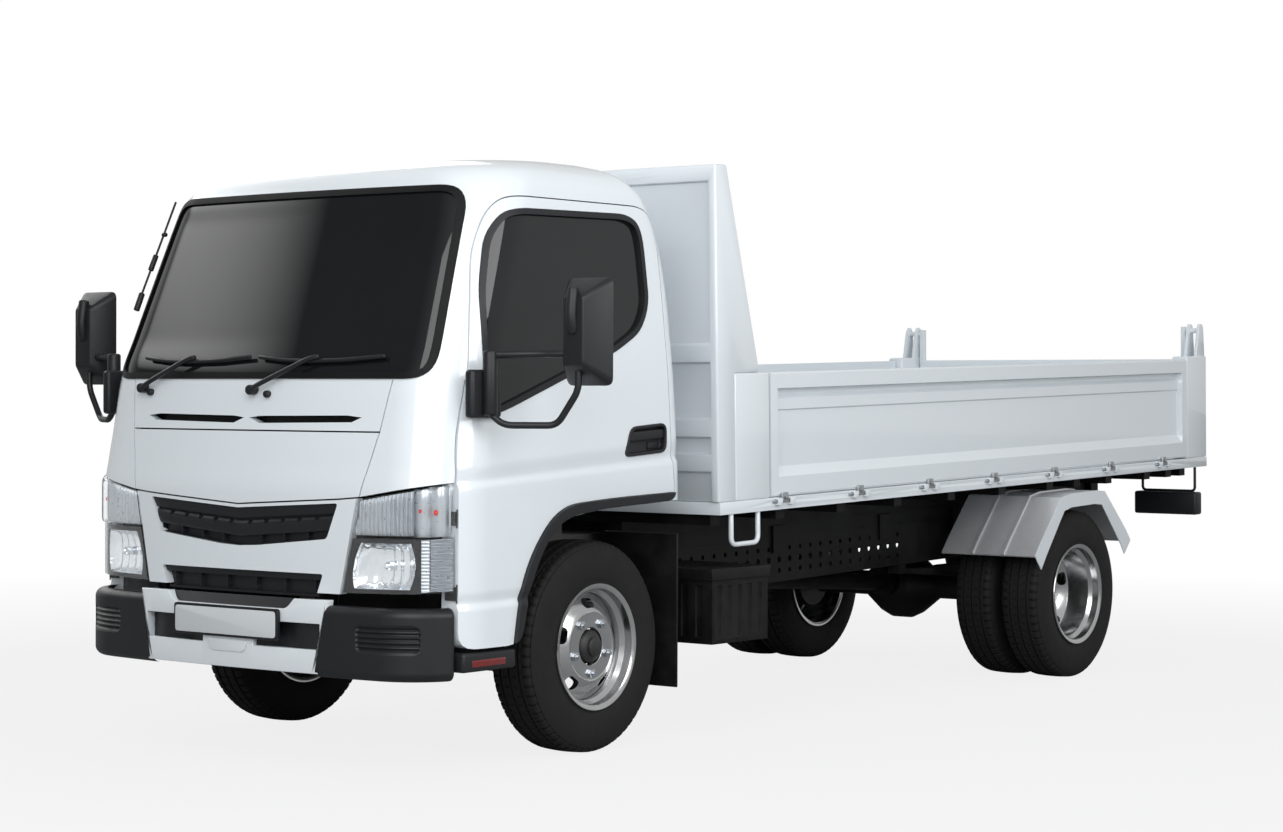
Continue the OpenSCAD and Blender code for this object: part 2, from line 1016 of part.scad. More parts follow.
module door_trim() {
    intersection() {
        cab_skin(-14, 40);
        side_view(300, 1000)
            intersection() {
                arch_band(34);
                offset(delta = -door_gap / 2)
                    door_outline();
            }
    }
    intersection() {
        cab_skin(2, door_t);
        side_view(handle_x + seat, 1000)
            polygon([[150, 1060], [160, 1092], [300, 1104], [300, 1074]]);
    }
}

module tube(a, b, r) {
    hull() {
        translate(a)
            sphere(r = r, $fn = 14);
        translate(b)
            sphere(r = r, $fn = 14);
    }
}

mirror_reach = 1255;
mirror_head_w = 193;
elbow_x = 850 + (mirror_reach - 905) * 0.457;

module mirror_shape() {
    difference() {
        union() {
            hull() {
                translate([800, -690, 1170])
                    cube([64, 60, 130]);
                translate([800, -660, 1180])
                    cube([56, 60, 110]);
            }
            tube([850, -670, 1285], [elbow_x, -640, 1362], 11);
            tube([elbow_x, -640, 1362], [mirror_reach - 55, -610, 1366], 11);
            tube([850, -670, 1185], [elbow_x - 30, -650, 1128], 11);
            tube([elbow_x - 30, -650, 1128], [mirror_reach - 55, -610, 1140], 11);
            tube([mirror_reach - 55, -610, 1140], [mirror_reach - 51, -608, 1366], 11);
            tube([mirror_reach - 51, -608, 1366], [mirror_reach - 65, -580, 1480], 11);
        }
        cab_body(-seat);
    }
    hull()
        for (x = [mirror_reach - mirror_head_w + 26, mirror_reach - 26], z = [1276, 1574])
            translate([x, -585, z])
                rotate([-90, 0, 0])
                    cylinder(r = 26, h = 62, $fn = 24);
}

module left_door() {
    color(white)
        axles()
            door_shape();
}

module right_door() {
    color(white)
        axles()
            mirror([1, 0, 0])
                door_shape();
}

module left_door_glass() {
    color([0.1, 0.12, 0.14])
        axles()
            door_glass();
}

module right_door_glass() {
    color([0.1, 0.12, 0.14])
        axles()
            mirror([1, 0, 0])
                door_glass();
}

module left_door_trim() {
    color(black)
        axles()
            door_trim();
}

module right_door_trim() {
    color(black)
        axles()
            mirror([1, 0, 0])
                door_trim();
}

module left_mirror() {
    color(black)
        axles()
            mirror_shape();
}

module right_mirror() {
    color(black)
        axles()
            mirror([1, 0, 0])
                mirror_shape();
}

// Wheels: u runs out along the axle from the tyre's inner face

bead_r = rim_d / 2 - 12;
well_r = rim_d / 2 - 34;

module tyre_shape() {
    w = tyre_w;
    r = tyre_d / 2;
    rotate_extrude($fn = 96)
        polygon([
            [bead_r + seat, 10], [rim_d / 2 + 4, 8], [rim_d / 2 + 30, 1], [r - 62, 0], [r - 22, 10], [r - 5, 24],
            [r, 42], [r, w - 42], [r - 5, w - 24], [r - 22, w - 10], [r - 62, w], [rim_d / 2 + 30, w - 1],
            [rim_d / 2 + 4, w - 8], [bead_r + seat, w - 10]
        ]);
}

module rim_barrel() {
    w = tyre_w;
    rotate_extrude($fn = 96)
        polygon([
            [bead_r - 8, 2], [rim_d / 2, 0], [rim_d / 2, 6], [bead_r, 9], [bead_r, 36], [well_r + 8, 48],
            [well_r + 8, w - 48], [bead_r, w - 36], [bead_r, w - 9], [rim_d / 2, w - 6], [rim_d / 2, w],
            [bead_r - 8, w - 2], [bead_r - 8, w - 38], [well_r, w - 50], [well_r, 50], [bead_r - 8, 38]
        ]);
}

module hand_holes(n, r, len, u, h = 60) {
    for (i = [0:n - 1])
        rotate([0, 0, 360 / n * i])
            translate([r, 0, u]) {
                for (s = hand)
                    translate([0, s * len, 0])
                        cylinder(r = 17, h = h);
                translate([-17, -len, 0])
                    cube([34, 2 * len, h]);
            }
}

module front_rim_shape() {
    w = tyre_w;
    difference() {
        union() {
            rim_barrel();
            rotate_extrude($fn = 96)
                polygon([
                    [spindle_r + run, w - 70], [100, w - 70], [100, w - 38], [112, w - 36], [165, w - 66], [well_r + 2, w - 66],
                    [well_r + 2, w - 58], [168, w - 58], [116, w - 26], [70, w - 24], [70, w - 12], [62, w + 4], [0, w + 4],
                    [0, w - 22], [spindle_r + run, w - 22]
                ]);
            for (i = [0:4])
                rotate([0, 0, 72 * i])
                    translate([92, 0, w - 28])
                        cylinder(r = 16, h = 26, $fn = 6);
        }
        hand_holes(5, 148, 13, w - 90);
    }
}

module rear_rims_shape() {
    w = tyre_w;
    out = dual_pitch;
    mid = (out + w) / 2;
    difference() {
        union() {
            rim_barrel();
            translate([0, 0, out])
                rim_barrel();
            rotate_extrude($fn = 96)
                polygon([
                    [stub_r + run, 30], [120, 30], [120, mid - 9], [130, mid - 9], [150, mid - 34], [bead_r - 4, mid - 50],
                    [bead_r - 4, mid - 42], [156, mid - 24], [140, mid], [156, mid + 24], [bead_r - 4, mid + 42],
                    [bead_r - 4, mid + 50], [150, mid + 34], [128, mid + 12], [88, mid + 12], [82, out + w - 162],
                    [70, out + w - 150], [0, out + w - 150], [0, out + w - 180], [stub_r + run, out + w - 180]
                ]);
            for (i = [0:4])
                rotate([0, 0, 72 * i])
                    translate([107, 0, mid + 8])
                        cylinder(r = 16, h = 30, $fn = 6);
        }
        hand_holes(5, 163, 13, mid - 63, 126);
    }
}

module on_axle(x, y, side) {
    axles()
        mirror([side < 0 ? 1 : 0, 0, 0])
            translate([x, y, axle_z])
                rotate([0, 90, 0])
                    children();
}

front_u = front_face_x - tyre_w;
rear_u = rear_face_x - tyre_w - dual_pitch;

module rear_tyres_shape() {
    tyre_shape();
    translate([0, 0, dual_pitch])
        tyre_shape();
}

module front_left_rim() {
    color(steel)
        on_axle(front_u, 0, 1)
            front_rim_shape();
}

module front_right_rim() {
    color(steel)
        on_axle(front_u, 0, -1)
            front_rim_shape();
}

module rear_left_rims() {
    color(steel)
        on_axle(rear_u, wheelbase, 1)
            rear_rims_shape();
}

module rear_right_rims() {
    color(steel)
        on_axle(rear_u, wheelbase, -1)
            rear_rims_shape();
}

module front_left_tyre() {
    color(black)
        on_axle(front_u, 0, 1)
            tyre_shape();
}

module front_right_tyre() {
    color(black)
        on_axle(front_u, 0, -1)
            tyre_shape();
}

module rear_left_tyres() {
    color(black)
        on_axle(rear_u, wheelbase, 1)
            rear_tyres_shape();
}

module rear_right_tyres() {
    color(black)
        on_axle(rear_u, wheelbase, -1)
            rear_tyres_shape();
}

// Bed

function hinge_y(i) = gate_y0 + 75 + (gate_y1 - gate_y0 - 330) * i / (gate_hinges - 1);
gate_pin_r = 7;
plate_t = 3;
plate_hw = bed_hw - post_w - 4;

module bed_floor() {
    color(white)
        raked()
            difference() {
                union() {
                    box(-bed_hw + 40, bed_hw - 40, bed_y0 + 10, bed_y1, floor_z - 18, floor_z);
                    box(-plate_hw, plate_hw, bed_y0 + 40, bed_y1 - gate_t - 10, floor_z - 2, floor_z + plate_t);
                    both()
                        box(bed_hw - 50, bed_hw, bed_y0 + 10, bed_y1, floor_z - floor_t, floor_z);
                    box(-bed_hw + 40, bed_hw - 40, bed_y1 - 40, bed_y1, floor_z - floor_t, floor_z);
                    box(-bed_hw + 40, bed_hw - 40, bed_y0 + 10, bed_y0 + 60, floor_z - floor_t, floor_z);
                    both()
                        for (i = [0:gate_hinges - 1], s = hand)
                            box(
                                bed_hw - 10, gate_pin_x + 12,
                                hinge_y(i) + s * 42 - 15, hinge_y(i) + s * 42 + 15, gate_pin_z - 13, gate_pin_z + 12
                            );
                }
                both()
                    for (i = [0:gate_hinges - 1])
                        rod_y(gate_pin_x, hinge_y(i) - 70, hinge_y(i) + 70, gate_pin_z, gate_pin_r + run);
            }
}

rear_bearer_y = [for (back = [1150, 900, 600, 220, 0]) bed_pin_y - back];
front_bearer_y = [for (i = [0:5]) bed_y0 + 60 + (rear_bearer_y[0] - bed_y0 - 60) * i / 6];
bearer_y = concat(front_bearer_y, rear_bearer_y, [bed_y1 - 140]);
ear_in = rail_x - rail_flange - 6;
ear_out = rail_x + 6;

module bed_sills() {
    color(black)
        raked() {
            for (y = bearer_y)
                box(-bed_hw + 60, bed_hw - 60, y - 28, y + 28, bearer_z, floor_z - floor_t - seat);
            both() {
                box(rail_x - rail_flange, rail_x, bed_y0 + 40, bed_pin_y - 50, sub_top + seat, bearer_z + 10);
                box(ear_in - 20, ear_in, bed_pin_y - 34, bed_pin_y + 34, bed_pin_z - 30, bearer_z + 10);
                box(ear_out, ear_out + 20, bed_pin_y - 34, bed_pin_y + 34, bed_pin_z - 30, bearer_z + 10);
                box(62, 78, bed_pin_y - 910, bed_pin_y - 590, hoist_eye_z - 30, bearer_z + 10);
                rod_x(ear_in - 20, ear_out + 20, bed_pin_y, bed_pin_z, bed_pin_r);
            }
            rod_x(-78, 78, hoist_eye_y, hoist_eye_z, eye_pin_r);
        }
}

module bed_posts() {
    color(white)
        raked()
            both()
                difference() {
                    union() {
                        box(
                            bed_hw - post_w, bed_hw,
                            front_post_y, gate_y0 - gate_gap, floor_z + seat, gate_top
                        );
                        box(bed_hw - post_w, bed_hw, gate_y1 + gate_gap, bed_y1, floor_z + seat, gate_top + 15);
                        box(bed_hw - post_w, bed_hw - post_w + 14, tail_pin_y - 45, tail_pin_y + 33, gate_top, tail_pin_z + 30);
                        box(bed_hw - 24, bed_hw - 10, tail_pin_y - 45, tail_pin_y + 33, gate_top, tail_pin_z + 30);
                    }
                    rod_x(bed_hw - 100, bed_hw + 10, tail_pin_y, tail_pin_z, 12 + run);
                }
}

module headboard() {
    color(white)
        raked() {
            box(-bed_hw + 20, bed_hw - 20, bed_y0 + 14, bed_y0 + 34, floor_z + seat, head_top);
            box(-bed_hw, bed_hw, bed_y0, bed_y0 + 70, head_top - 60, head_top);
            for (z = [930, 1055, 1325])
                box(-bed_hw + 20, bed_hw - 20, bed_y0, bed_y0 + 30, z, z + 66);
            for (x = [-420, -28, 364])
                box(x, x + 56, bed_y0, bed_y0 + 30, floor_z + seat, head_top);
            both()
                side_view(bed_hw - 35, bed_hw)
                    polygon([
                        [bed_y0, floor_z + seat], [bed_y0, head_top], [bed_y0 + 70, head_top],
                        [bed_y0 + 262, gate_top + 24], [bed_y0 + 262, gate_top + seat],
                        [front_post_y - seat, gate_top + seat], [front_post_y - seat, floor_z + seat]
                    ]);
        }
}

module rear_lamps() {
    color(black)
        raked()
            both() {
                box(500, bed_hw, bed_y1 - 120, bed_y1 - 50, 545, 660);
                translate([530, bed_y1 - 85, 650])
                    cylinder(r = 7, h = floor_z - 18 - seat - 650);
                translate([bed_hw - 20, bed_y1 - 85, 650])
                    cylinder(r = 7, h = floor_z - floor_t - seat - 650);
            }
}

module step_loop() {
    rod_y(bed_hw - 12, front_post_y, front_post_y + 180, 690, 7);
    for (y = [front_post_y, front_post_y + 180])
        translate([bed_hw - 12, y, 681])
            cylinder(r = 9, h = floor_z - floor_t - seat - 681);
}

module step_loops() {
    color(white)
        raked()
            both()
                step_loop();
}

// Side gates and tailgate

module gate_shape() {
    y0 = gate_y0;
    y1 = gate_y1;
    difference() {
        box(bed_hw - gate_t, bed_hw, y0, y1, gate_z0, gate_top);
        box(bed_hw - 12, bed_hw + 1, y0 + 45, y1 - 45, gate_z0 + 70, gate_top - 62);
    }
    box(bed_hw - 20, bed_hw - 4, y0 + 40, y1 - 40, gate_top - 190, gate_top - 175);
    for (i = [0:gate_hinges - 1]) {
        box(bed_hw + 1, gate_pin_x + 6, hinge_y(i) - 22, hinge_y(i) + 22, gate_pin_z, gate_z0 + 62);
        box(bed_hw - 6, gate_pin_x + 4, hinge_y(i) - 18, hinge_y(i) + 18, gate_z0 + 4, gate_z0 + 58);
        rod_y(gate_pin_x, hinge_y(i) - 60, hinge_y(i) + 60, gate_pin_z, gate_pin_r);
    }
}

module left_gate() {
    color(white)
        raked()
            gate_shape();
}

module right_gate() {
    color(white)
        raked()
            mirror([1, 0, 0])
                gate_shape();
}

module tailgate() {
    tx = bed_hw - post_w - gate_gap;
    color(white)
        raked() {
            difference() {
                box(-tx, tx, bed_y1 - gate_t, bed_y1, gate_z0, gate_top);
                box(-tx + 50, tx - 50, bed_y1 - 12, bed_y1 + 1, gate_z0 + 70, gate_top - 62);
            }
            for (i = [1:3])
                box(-tx + 2 * tx * i / 4 - 25, -tx + 2 * tx * i / 4 + 25, bed_y1 - 14, bed_y1, gate_z0 + 60, gate_top - 50);
            both() {
                box(tx - 22, tx, tail_pin_y - 14, tail_pin_y + 14, gate_top - 10, tail_pin_z + 20);
                rod_x(tx - 22, bed_hw - 12, tail_pin_y, tail_pin_z, 12);
            }
        }
}

// Hoist: barrel, sleeve and rod on one line from the cross beam to the bed

barrel_r = 66;
sleeve_r = 52;
ram_r = 40;
eye_pin_r = 14;
eye_bore = 40;
hoist_pin_r = 18;

module on_hoist() {
    raked()
        translate([0, hoist_y, hoist_z])
            rotate([hoist_tilt - 90, 0, 0])
                children();
}

module hoist_barrel() {
    color(black)
        on_hoist()
            difference() {
                union() {
                    translate([0, 0, 26])
                        cylinder(r = barrel_r, h = 284);
                    rotate([0, 90, 0])
                        cylinder(r = 36, h = 120, center = true);
                    translate([-40, -30, 0])
                        cube([80, 60, 40]);
                }
                rotate([0, 90, 0])
                    cylinder(r = hoist_pin_r + run, h = 200, center = true);
                translate([0, 0, 42])
                    cylinder(r = sleeve_r + run, h = 300);
            }
}

module hoist_sleeve() {
    color(steel)
        on_hoist()
            difference() {
                translate([0, 0, 44])
                    cylinder(r = sleeve_r, h = 278);
                translate([0, 0, 56])
                    cylinder(r = ram_r + run, h = 300);
            }
}

module hoist_rod() {
    color(steel)
        on_hoist()
            difference() {
                union() {
                    translate([0, 0, 58])
                        cylinder(r = ram_r, h = hoist_l - 58 - 40);
                    translate([0, 0, hoist_l])
                        rotate([0, 90, 0])
                            cylinder(r = eye_bore + 14, h = 100, center = true);
                }
                translate([0, 0, hoist_l])
                    rotate([0, 90, 0])
                        cylinder(r = eye_bore, h = 200, center = true);
            }
}

frame_rails();
cross_members();
subframe();
engine();
drive_shaft();
front_axle();
rear_axle();
leaf_springs();
battery_box();
fuel_tank();
exhaust();
front_bumper();
bumper_corners();
front_mudguards();
rear_mudguards();
cab_shell();
cab_floor();
front_panel();
corner_panels();
grille_panel();
grille();
headlamps();
cab_glass();
wipers();
seats();
dashboard();
steering_column();
sills();
steering_wheel();
left_door();
left_door_glass();
left_door_trim();
left_mirror();
right_door();
right_door_glass();
right_door_trim();
right_mirror();
left_knuckle();
right_knuckle();
front_left_rim();
front_left_tyre();
front_right_rim();
front_right_tyre();
rear_left_rims();
rear_left_tyres();
rear_right_rims();
rear_right_tyres();
bed_floor();
bed_sills();
bed_posts();
headboard();
rear_lamps();
step_loops();
left_gate();
right_gate();
tailgate();
hoist_barrel();
hoist_sleeve();
hoist_rod();
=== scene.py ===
import math

import bpy
import numpy as np
from mathutils import Matrix, Vector


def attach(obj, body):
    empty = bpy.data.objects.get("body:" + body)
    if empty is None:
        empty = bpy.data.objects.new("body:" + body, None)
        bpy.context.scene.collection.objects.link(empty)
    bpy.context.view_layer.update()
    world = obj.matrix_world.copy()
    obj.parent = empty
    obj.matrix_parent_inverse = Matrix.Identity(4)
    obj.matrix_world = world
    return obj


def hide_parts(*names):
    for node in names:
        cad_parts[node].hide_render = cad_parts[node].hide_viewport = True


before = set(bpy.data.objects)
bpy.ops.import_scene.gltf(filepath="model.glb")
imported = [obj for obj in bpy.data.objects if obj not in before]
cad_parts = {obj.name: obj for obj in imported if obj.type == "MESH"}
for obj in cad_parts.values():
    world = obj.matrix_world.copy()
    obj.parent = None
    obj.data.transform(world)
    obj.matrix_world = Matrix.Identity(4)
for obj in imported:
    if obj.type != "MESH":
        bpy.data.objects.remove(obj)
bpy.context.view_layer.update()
scene = bpy.context.scene
scene.view_settings.view_transform = "Standard"


# Stage: a pale seamless floor and a bright surround, which are not part of the truck.
# The floor keeps the truck's shadow and turns white away from it.
class Wire:
    """One socket of a finish. Arithmetic on it adds Math nodes, and node() adds any other kind."""

    def __init__(self, tree, socket=None):
        self.tree, self.socket = tree, socket

    def node(self, kind, sockets, out=0, **settings):
        made = self.tree.nodes.new("ShaderNode" + kind)
        for key, value in settings.items():
            setattr(made, key, value)
        for key, value in sockets.items():
            if isinstance(value, Wire):
                self.tree.links.new(value.socket, made.inputs[key])
            else:
                made.inputs[key].default_value = value
        return Wire(self.tree, made.outputs[out])

    def math(self, operation, a, b=0.0):
        return self.node("Math", {0: a, 1: b}, operation=operation)

    def __add__(self, other):
        return self.math("ADD", self, other)

    def __radd__(self, other):
        return self.math("ADD", other, self)

    def __sub__(self, other):
        return self.math("SUBTRACT", self, other)

    def __rsub__(self, other):
        return self.math("SUBTRACT", other, self)

    def __mul__(self, other):
        return self.math("MULTIPLY", self, other)

    def __rmul__(self, other):
        return self.math("MULTIPLY", other, self)

    def clamp(self):
        return self.node("Clamp", {"Value": self})

    def noise(self, scale, detail=3.0, rough=0.5):
        return self.node("TexNoise", {"Vector": self, "Scale": scale, "Detail": detail, "Roughness": rough})

    def between(self, low, high):
        return self.node("MapRange", {"Value": self, "From Min": low, "From Max": high})

    def tint(self, a, b):
        return self.node("Mix", {"Factor": self, 6: (*a, 1), 7: (*b, 1)}, out=2, data_type="RGBA")

    def part(self, letter):
        return self.node("SeparateXYZ", {"Vector": self}, out="XYZ".index(letter))

    def bump(self, strength, distance):
        return self.node("Bump", {"Height": self, "Strength": strength, "Distance": distance})

    def feed(self, name):
        shader = self.tree.nodes["Principled BSDF"]
        self.tree.links.new(self.socket, shader.inputs[name])


def seen(tree):
    """1 for rays that show the background: from the camera or through a clear piece."""
    path = tree.nodes.new("ShaderNodeLightPath")
    rays = [Wire(tree, path.outputs[n]) for n in ("Is Camera Ray", "Is Transmission Ray")]
    return (rays[0] + rays[1]).clamp()


bpy.ops.object.select_all(action="DESELECT")
bpy.ops.mesh.primitive_plane_add(size=120, location=(0, 0, -0.001))
floor = bpy.context.object
floor.name = "floor"
pale = bpy.data.materials.new("pale_floor")
pale.use_nodes = True
tree = pale.node_tree
tree.nodes.remove(tree.nodes["Principled BSDF"])
lit = Wire(tree).node("BsdfDiffuse", {"Color": (0.34, 0.345, 0.35, 1)})
glow = Wire(tree).node("Emission", {"Color": (1, 1, 1, 1), "Strength": 1.0})
reach = Wire(tree).node("VectorMath", {0: Wire(tree).node("TexCoord", {}, out=3)}, out=1, operation="LENGTH")
show = 0.84 + reach.between(3.5, 8.0) * 0.16
mixed = Wire(tree).node("MixShader", {"Fac": seen(tree) * show, 1: lit, 2: glow})
tree.links.new(mixed.socket, tree.nodes["Material Output"].inputs["Surface"])
floor.data.materials.append(pale)

world = bpy.data.worlds.new("surround")
scene.world = world
world.use_nodes = True
tree = world.node_tree
SURROUND_LIGHT, DARK_SHARE, BRIGHT_LIGHT = 0.58, 0.8, 6.0
toward = Wire(tree).node("TexCoord", {}, out=0)
east, north, up = toward.part("X"), toward.part("Y"), toward.part("Z")
dark_zone = (east * -0.59 + north * -0.58 + up * 0.56).between(0.70, 0.93)
bright_zone = east.between(-0.66, -0.90) * up.between(0.36, 0.52) * up.between(0.70, 0.56)
glossy = Wire(tree, tree.nodes.new("ShaderNodeLightPath").outputs["Is Glossy Ray"])
around = SURROUND_LIGHT * (1 - dark_zone * glossy * DARK_SHARE) + bright_zone * glossy * BRIGHT_LIGHT
strength = around * (1 - seen(tree)) + seen(tree)
tree.links.new(strength.socket, tree.nodes["Background"].inputs["Strength"])
tree.nodes["Background"].inputs["Color"].default_value = (1, 1, 1, 1)

# Lamps: broad panels ahead of and beside the near front corner, and a weak one behind on the far side.
# Each is a plain white rectangle aimed at the middle of the truck.
for name, place, size, power in (
    ("top_panel", (3.2, -6.4, 3.6), 4.4, 185),
    ("near_panel", (7.4, -2.6, 3.6), 4.0, 205),
    ("far_panel", (-6.0, 2.5, 4.5), 4.0, 70),
):
    bpy.ops.object.light_add(type="AREA", location=place)
    lamp = bpy.context.object
    lamp.name = name
    lamp.data.size, lamp.data.energy = size, power
    lamp.rotation_euler = (Vector((0, 0, 0.8)) - Vector(place)).to_track_quat("-Z", "Y").to_euler()

# Camera: a long lens ahead of the truck's left front corner, at windscreen-sill height.
# The shift is the small offset between the picture's middle and the lens axis.
bpy.ops.object.camera_add(
    location=(6.42, -9.0486, 1.237),
    rotation=(math.radians(90 - 0.81), math.radians(-0.21), math.radians(38.34)),
)
camera = bpy.context.object
camera.name = "camera"
camera.data.sensor_width = 36
camera.data.lens = 75.29
camera.data.shift_x, camera.data.shift_y = 0.0454, 0.0103
scene.camera = camera


# White paint: a bluish-white two-coat finish over pressed steel and moulded panels.
# It is sprayed, so it has a faint ripple, and it is greyer in patches lower down.
def finish(name, **constants):
    """A new finish with fixed values on its shader; gives the material and its Object coordinates."""
    made = bpy.data.materials.new(name)
    made.use_nodes = True
    shader = made.node_tree.nodes["Principled BSDF"]
    for key, value in constants.items():
        shader.inputs[key.replace("_", " ")].default_value = value
    at = Wire(made.node_tree).node("TexCoord", {}, out=3)
    return made, at


white_paint, at = finish("white_paint", Coat_Weight=1.0, Coat_Roughness=0.03, IOR=1.45)
low = at.part("Z").between(1.1, 0.3) * at.noise(7, 5, 0.65)
tone = (at.noise(0.9, 2) * 0.5 + low * 0.55).clamp()
tone.tint((0.765, 0.825, 0.868), (0.695, 0.742, 0.775)).feed("Base Color")
(0.26 + at.noise(12, 4) * 0.12).feed("Roughness")
at.noise(420, 2).bump(0.05, 0.0006).feed("Normal")

# Chassis black: brushed-on semi-gloss paint on the frame, axles and bed sills.
# It is chalky and brown-grey where dust lies.
chassis_black, at = finish("chassis_black", Specular_IOR_Level=0.2)
dust = at.noise(5, 6, 0.7).between(0.45, 0.75)
dust.tint((0.007, 0.007, 0.0075), (0.018, 0.0175, 0.017)).feed("Base Color")
(0.42 + dust * 0.3).feed("Roughness")
at.noise(160, 4).bump(0.15, 0.001).feed("Normal")

# Black plastic: moulded, fine-grained trim such as bumper corners, flares and mirrors.
# The grain is a close leather-like pebble that breaks up the shine.
black_plastic, at = finish("black_plastic", Specular_IOR_Level=0.4)
at.noise(3, 3).tint((0.008, 0.009, 0.0105), (0.014, 0.015, 0.0175)).feed("Base Color")
(0.34 + at.noise(30, 4) * 0.16).feed("Roughness")
at.node("TexVoronoi", {"Vector": at, "Scale": 650.0}).bump(0.12, 0.0006).feed("Normal")

# Engine iron, silencer steel and hoist steel: bare or heat-stained metal below the bed.
# Cast, rolled and ground in turn, so the roughness falls from one to the next.
engine_iron, at = finish("engine_iron", Metallic=0.6)
at.noise(9, 5, 0.7).tint((0.10, 0.10, 0.105), (0.19, 0.18, 0.17)).feed("Base Color")
(0.55 + at.noise(25) * 0.25).feed("Roughness")
at.noise(140, 4).bump(0.3, 0.002).feed("Normal")
silencer_steel, at = finish("silencer_steel", Metallic=0.85)
at.noise(6, 6, 0.7).tint((0.22, 0.205, 0.19), (0.12, 0.09, 0.07)).feed("Base Color")
(0.4 + at.noise(14, 5) * 0.35).feed("Roughness")
hoist_steel, at = finish("hoist_steel", Metallic=1.0)
at.noise(40, 3).tint((0.62, 0.62, 0.63), (0.5, 0.5, 0.5)).feed("Base Color")
(0.12 + at.noise(60, 4) * 0.16).feed("Roughness")

# Guard steel: zinc-silver painted sheet of the rear mudguards.
# Towards the lower edges its colour darkens, a painted shade below the lit top, and spray and grit dull its
# shine.
guard_steel, at = finish("guard_steel", Metallic=0.55)
# Darker low on the guard: painted shade in the colour, and grit dulling in the roughness.
painted_shade_and_grit = (at.part("Z").between(0.85, 0.5) * at.noise(9, 5, 0.7)).clamp()
painted_shade_and_grit.tint((0.74, 0.75, 0.77), (0.45, 0.455, 0.46)).feed("Base Color")
(0.33 + painted_shade_and_grit * 0.3).feed("Roughness")
at.noise(260, 3).bump(0.06, 0.0008).feed("Normal")

# Cabin trim and seat cloth: grained vinyl and a woven cover, both charcoal.
# The weave is two crossed fine waves.
cabin_trim, at = finish("cabin_trim")
at.noise(4).tint((0.035, 0.035, 0.037), (0.055, 0.054, 0.055)).feed("Base Color")
(0.5 + at.noise(40) * 0.2).feed("Roughness")
at.node("TexVoronoi", {"Vector": at, "Scale": 420.0}).bump(0.2, 0.001).feed("Normal")
seat_cloth, at = finish("seat_cloth", Sheen_Weight=0.3)
warp = at.node("TexWave", {"Vector": at, "Scale": 90.0}, out=1, bands_direction="X")
weft = at.node("TexWave", {"Vector": at, "Scale": 90.0}, out=1, bands_direction="Z")
weave = warp * weft
weave.tint((0.045, 0.046, 0.05), (0.09, 0.09, 0.095)).feed("Base Color")
(0.8 + at.noise(20) * 0.15).feed("Roughness")
weave.bump(0.3, 0.001).feed("Normal")

# Tinted glass: dark laminated and toughened panes, polished, with a little haze of dust.
# Next to nothing of the cabin shows through them.
tinted_glass, at = finish("tinted_glass", IOR=1.52)
at.noise(2.5, 4).tint((0.006, 0.007, 0.008), (0.011, 0.012, 0.013)).feed("Base Color")
(0.015 + at.noise(6, 5).between(0.5, 0.8) * 0.05).feed("Roughness")
(0.93 + at.noise(3) * 0.06).feed("Alpha")

# Lamp lens: clear moulded plastic, a little uneven from its mould.
# It covers the reflectors and the turn lamps.
lamp_lens, at = finish("lamp_lens", Transmission_Weight=1.0, IOR=1.4)
at.noise(8).tint((0.97, 0.98, 0.99), (0.93, 0.95, 0.96)).feed("Base Color")
(0.02 + at.noise(30) * 0.04).feed("Roughness")

# Wheel steel: polished rims of rolled and pressed sheet.
# The shine is uneven where the metal was drawn.
wheel_steel, at = finish("wheel_steel", Metallic=1.0)
at.noise(14, 4).tint((0.66, 0.665, 0.67), (0.5, 0.505, 0.51)).feed("Base Color")
(0.13 + at.noise(70, 5) * 0.14).feed("Roughness")

# Tyre rubber: matt black, with brown-grey dust in patches.
# It is cured in a mould, so it has a fine even grain.
tyre_rubber, at = finish("tyre_rubber", Specular_IOR_Level=0.3)
at.noise(8, 6, 0.7).tint((0.006, 0.006, 0.0064), (0.014, 0.0136, 0.013)).feed("Base Color")
(0.62 + at.noise(24, 4) * 0.2).feed("Roughness")
at.noise(330, 4).bump(0.18, 0.001).feed("Normal")

# Cab form: the cab's outer skin as one smooth surface from the sill to the roof.
# The pressed panels, doors and panes below are all cut from it, so they lie flush.
AXLE_Y = -1.8396
CAB_SECTIONS = np.array([
    (0.400, -0.938, 1.000, 0.420), (0.900, -0.938, 1.000, 0.420), (1.000, -0.922, 0.998, 0.418),
    (1.100, -0.905, 0.992, 0.416), (1.280, -0.874, 0.983, 0.410), (1.420, -0.8184, 0.970, 0.405),
    (1.560, -0.7627, 0.955, 0.399), (1.700, -0.707, 0.939, 0.381), (1.820, -0.6594, 0.923, 0.350),
    (1.914, -0.622, 0.901, 0.305), (1.966, -0.575, 0.862, 0.262), (2.003, -0.470, 0.790, 0.215),
    (2.022, -0.310, 0.700, 0.165),
])
CAB_HALF, CORNER_R, BOW_R, REAR_R, CROWN = 0.848, 0.25, 5.2, 0.07, 0.01
CREASE_DEEP, CREASE_RUN = 0.0075, 0.016


def cab_size(z, column):
    """A section value at height z, on a smooth curve through the sections that doesn't overshoot."""
    heights, values = CAB_SECTIONS[:, 0], CAB_SECTIONS[:, column]
    step = np.diff(heights)
    rise = np.diff(values) / step
    slope = np.concatenate([rise[:1], np.zeros(len(rise) - 1), rise[-1:]])
    for k in range(1, len(rise)):
        if rise[k - 1] * rise[k] > 0:
            slope[k] = 2 / (1 / rise[k - 1] + 1 / rise[k])
    k = min(max(int(np.searchsorted(heights, z)) - 1, 0), len(step) - 1)
    t, h = (z - heights[k]) / step[k], step[k]
    return (
        (1 + 2 * t) * (1 - t) ** 2 * values[k] + t * (1 - t) ** 2 * h * slope[k]
        + t * t * (3 - 2 * t) * values[k + 1] + t * t * (t - 1) * h * slope[k + 1]
    )


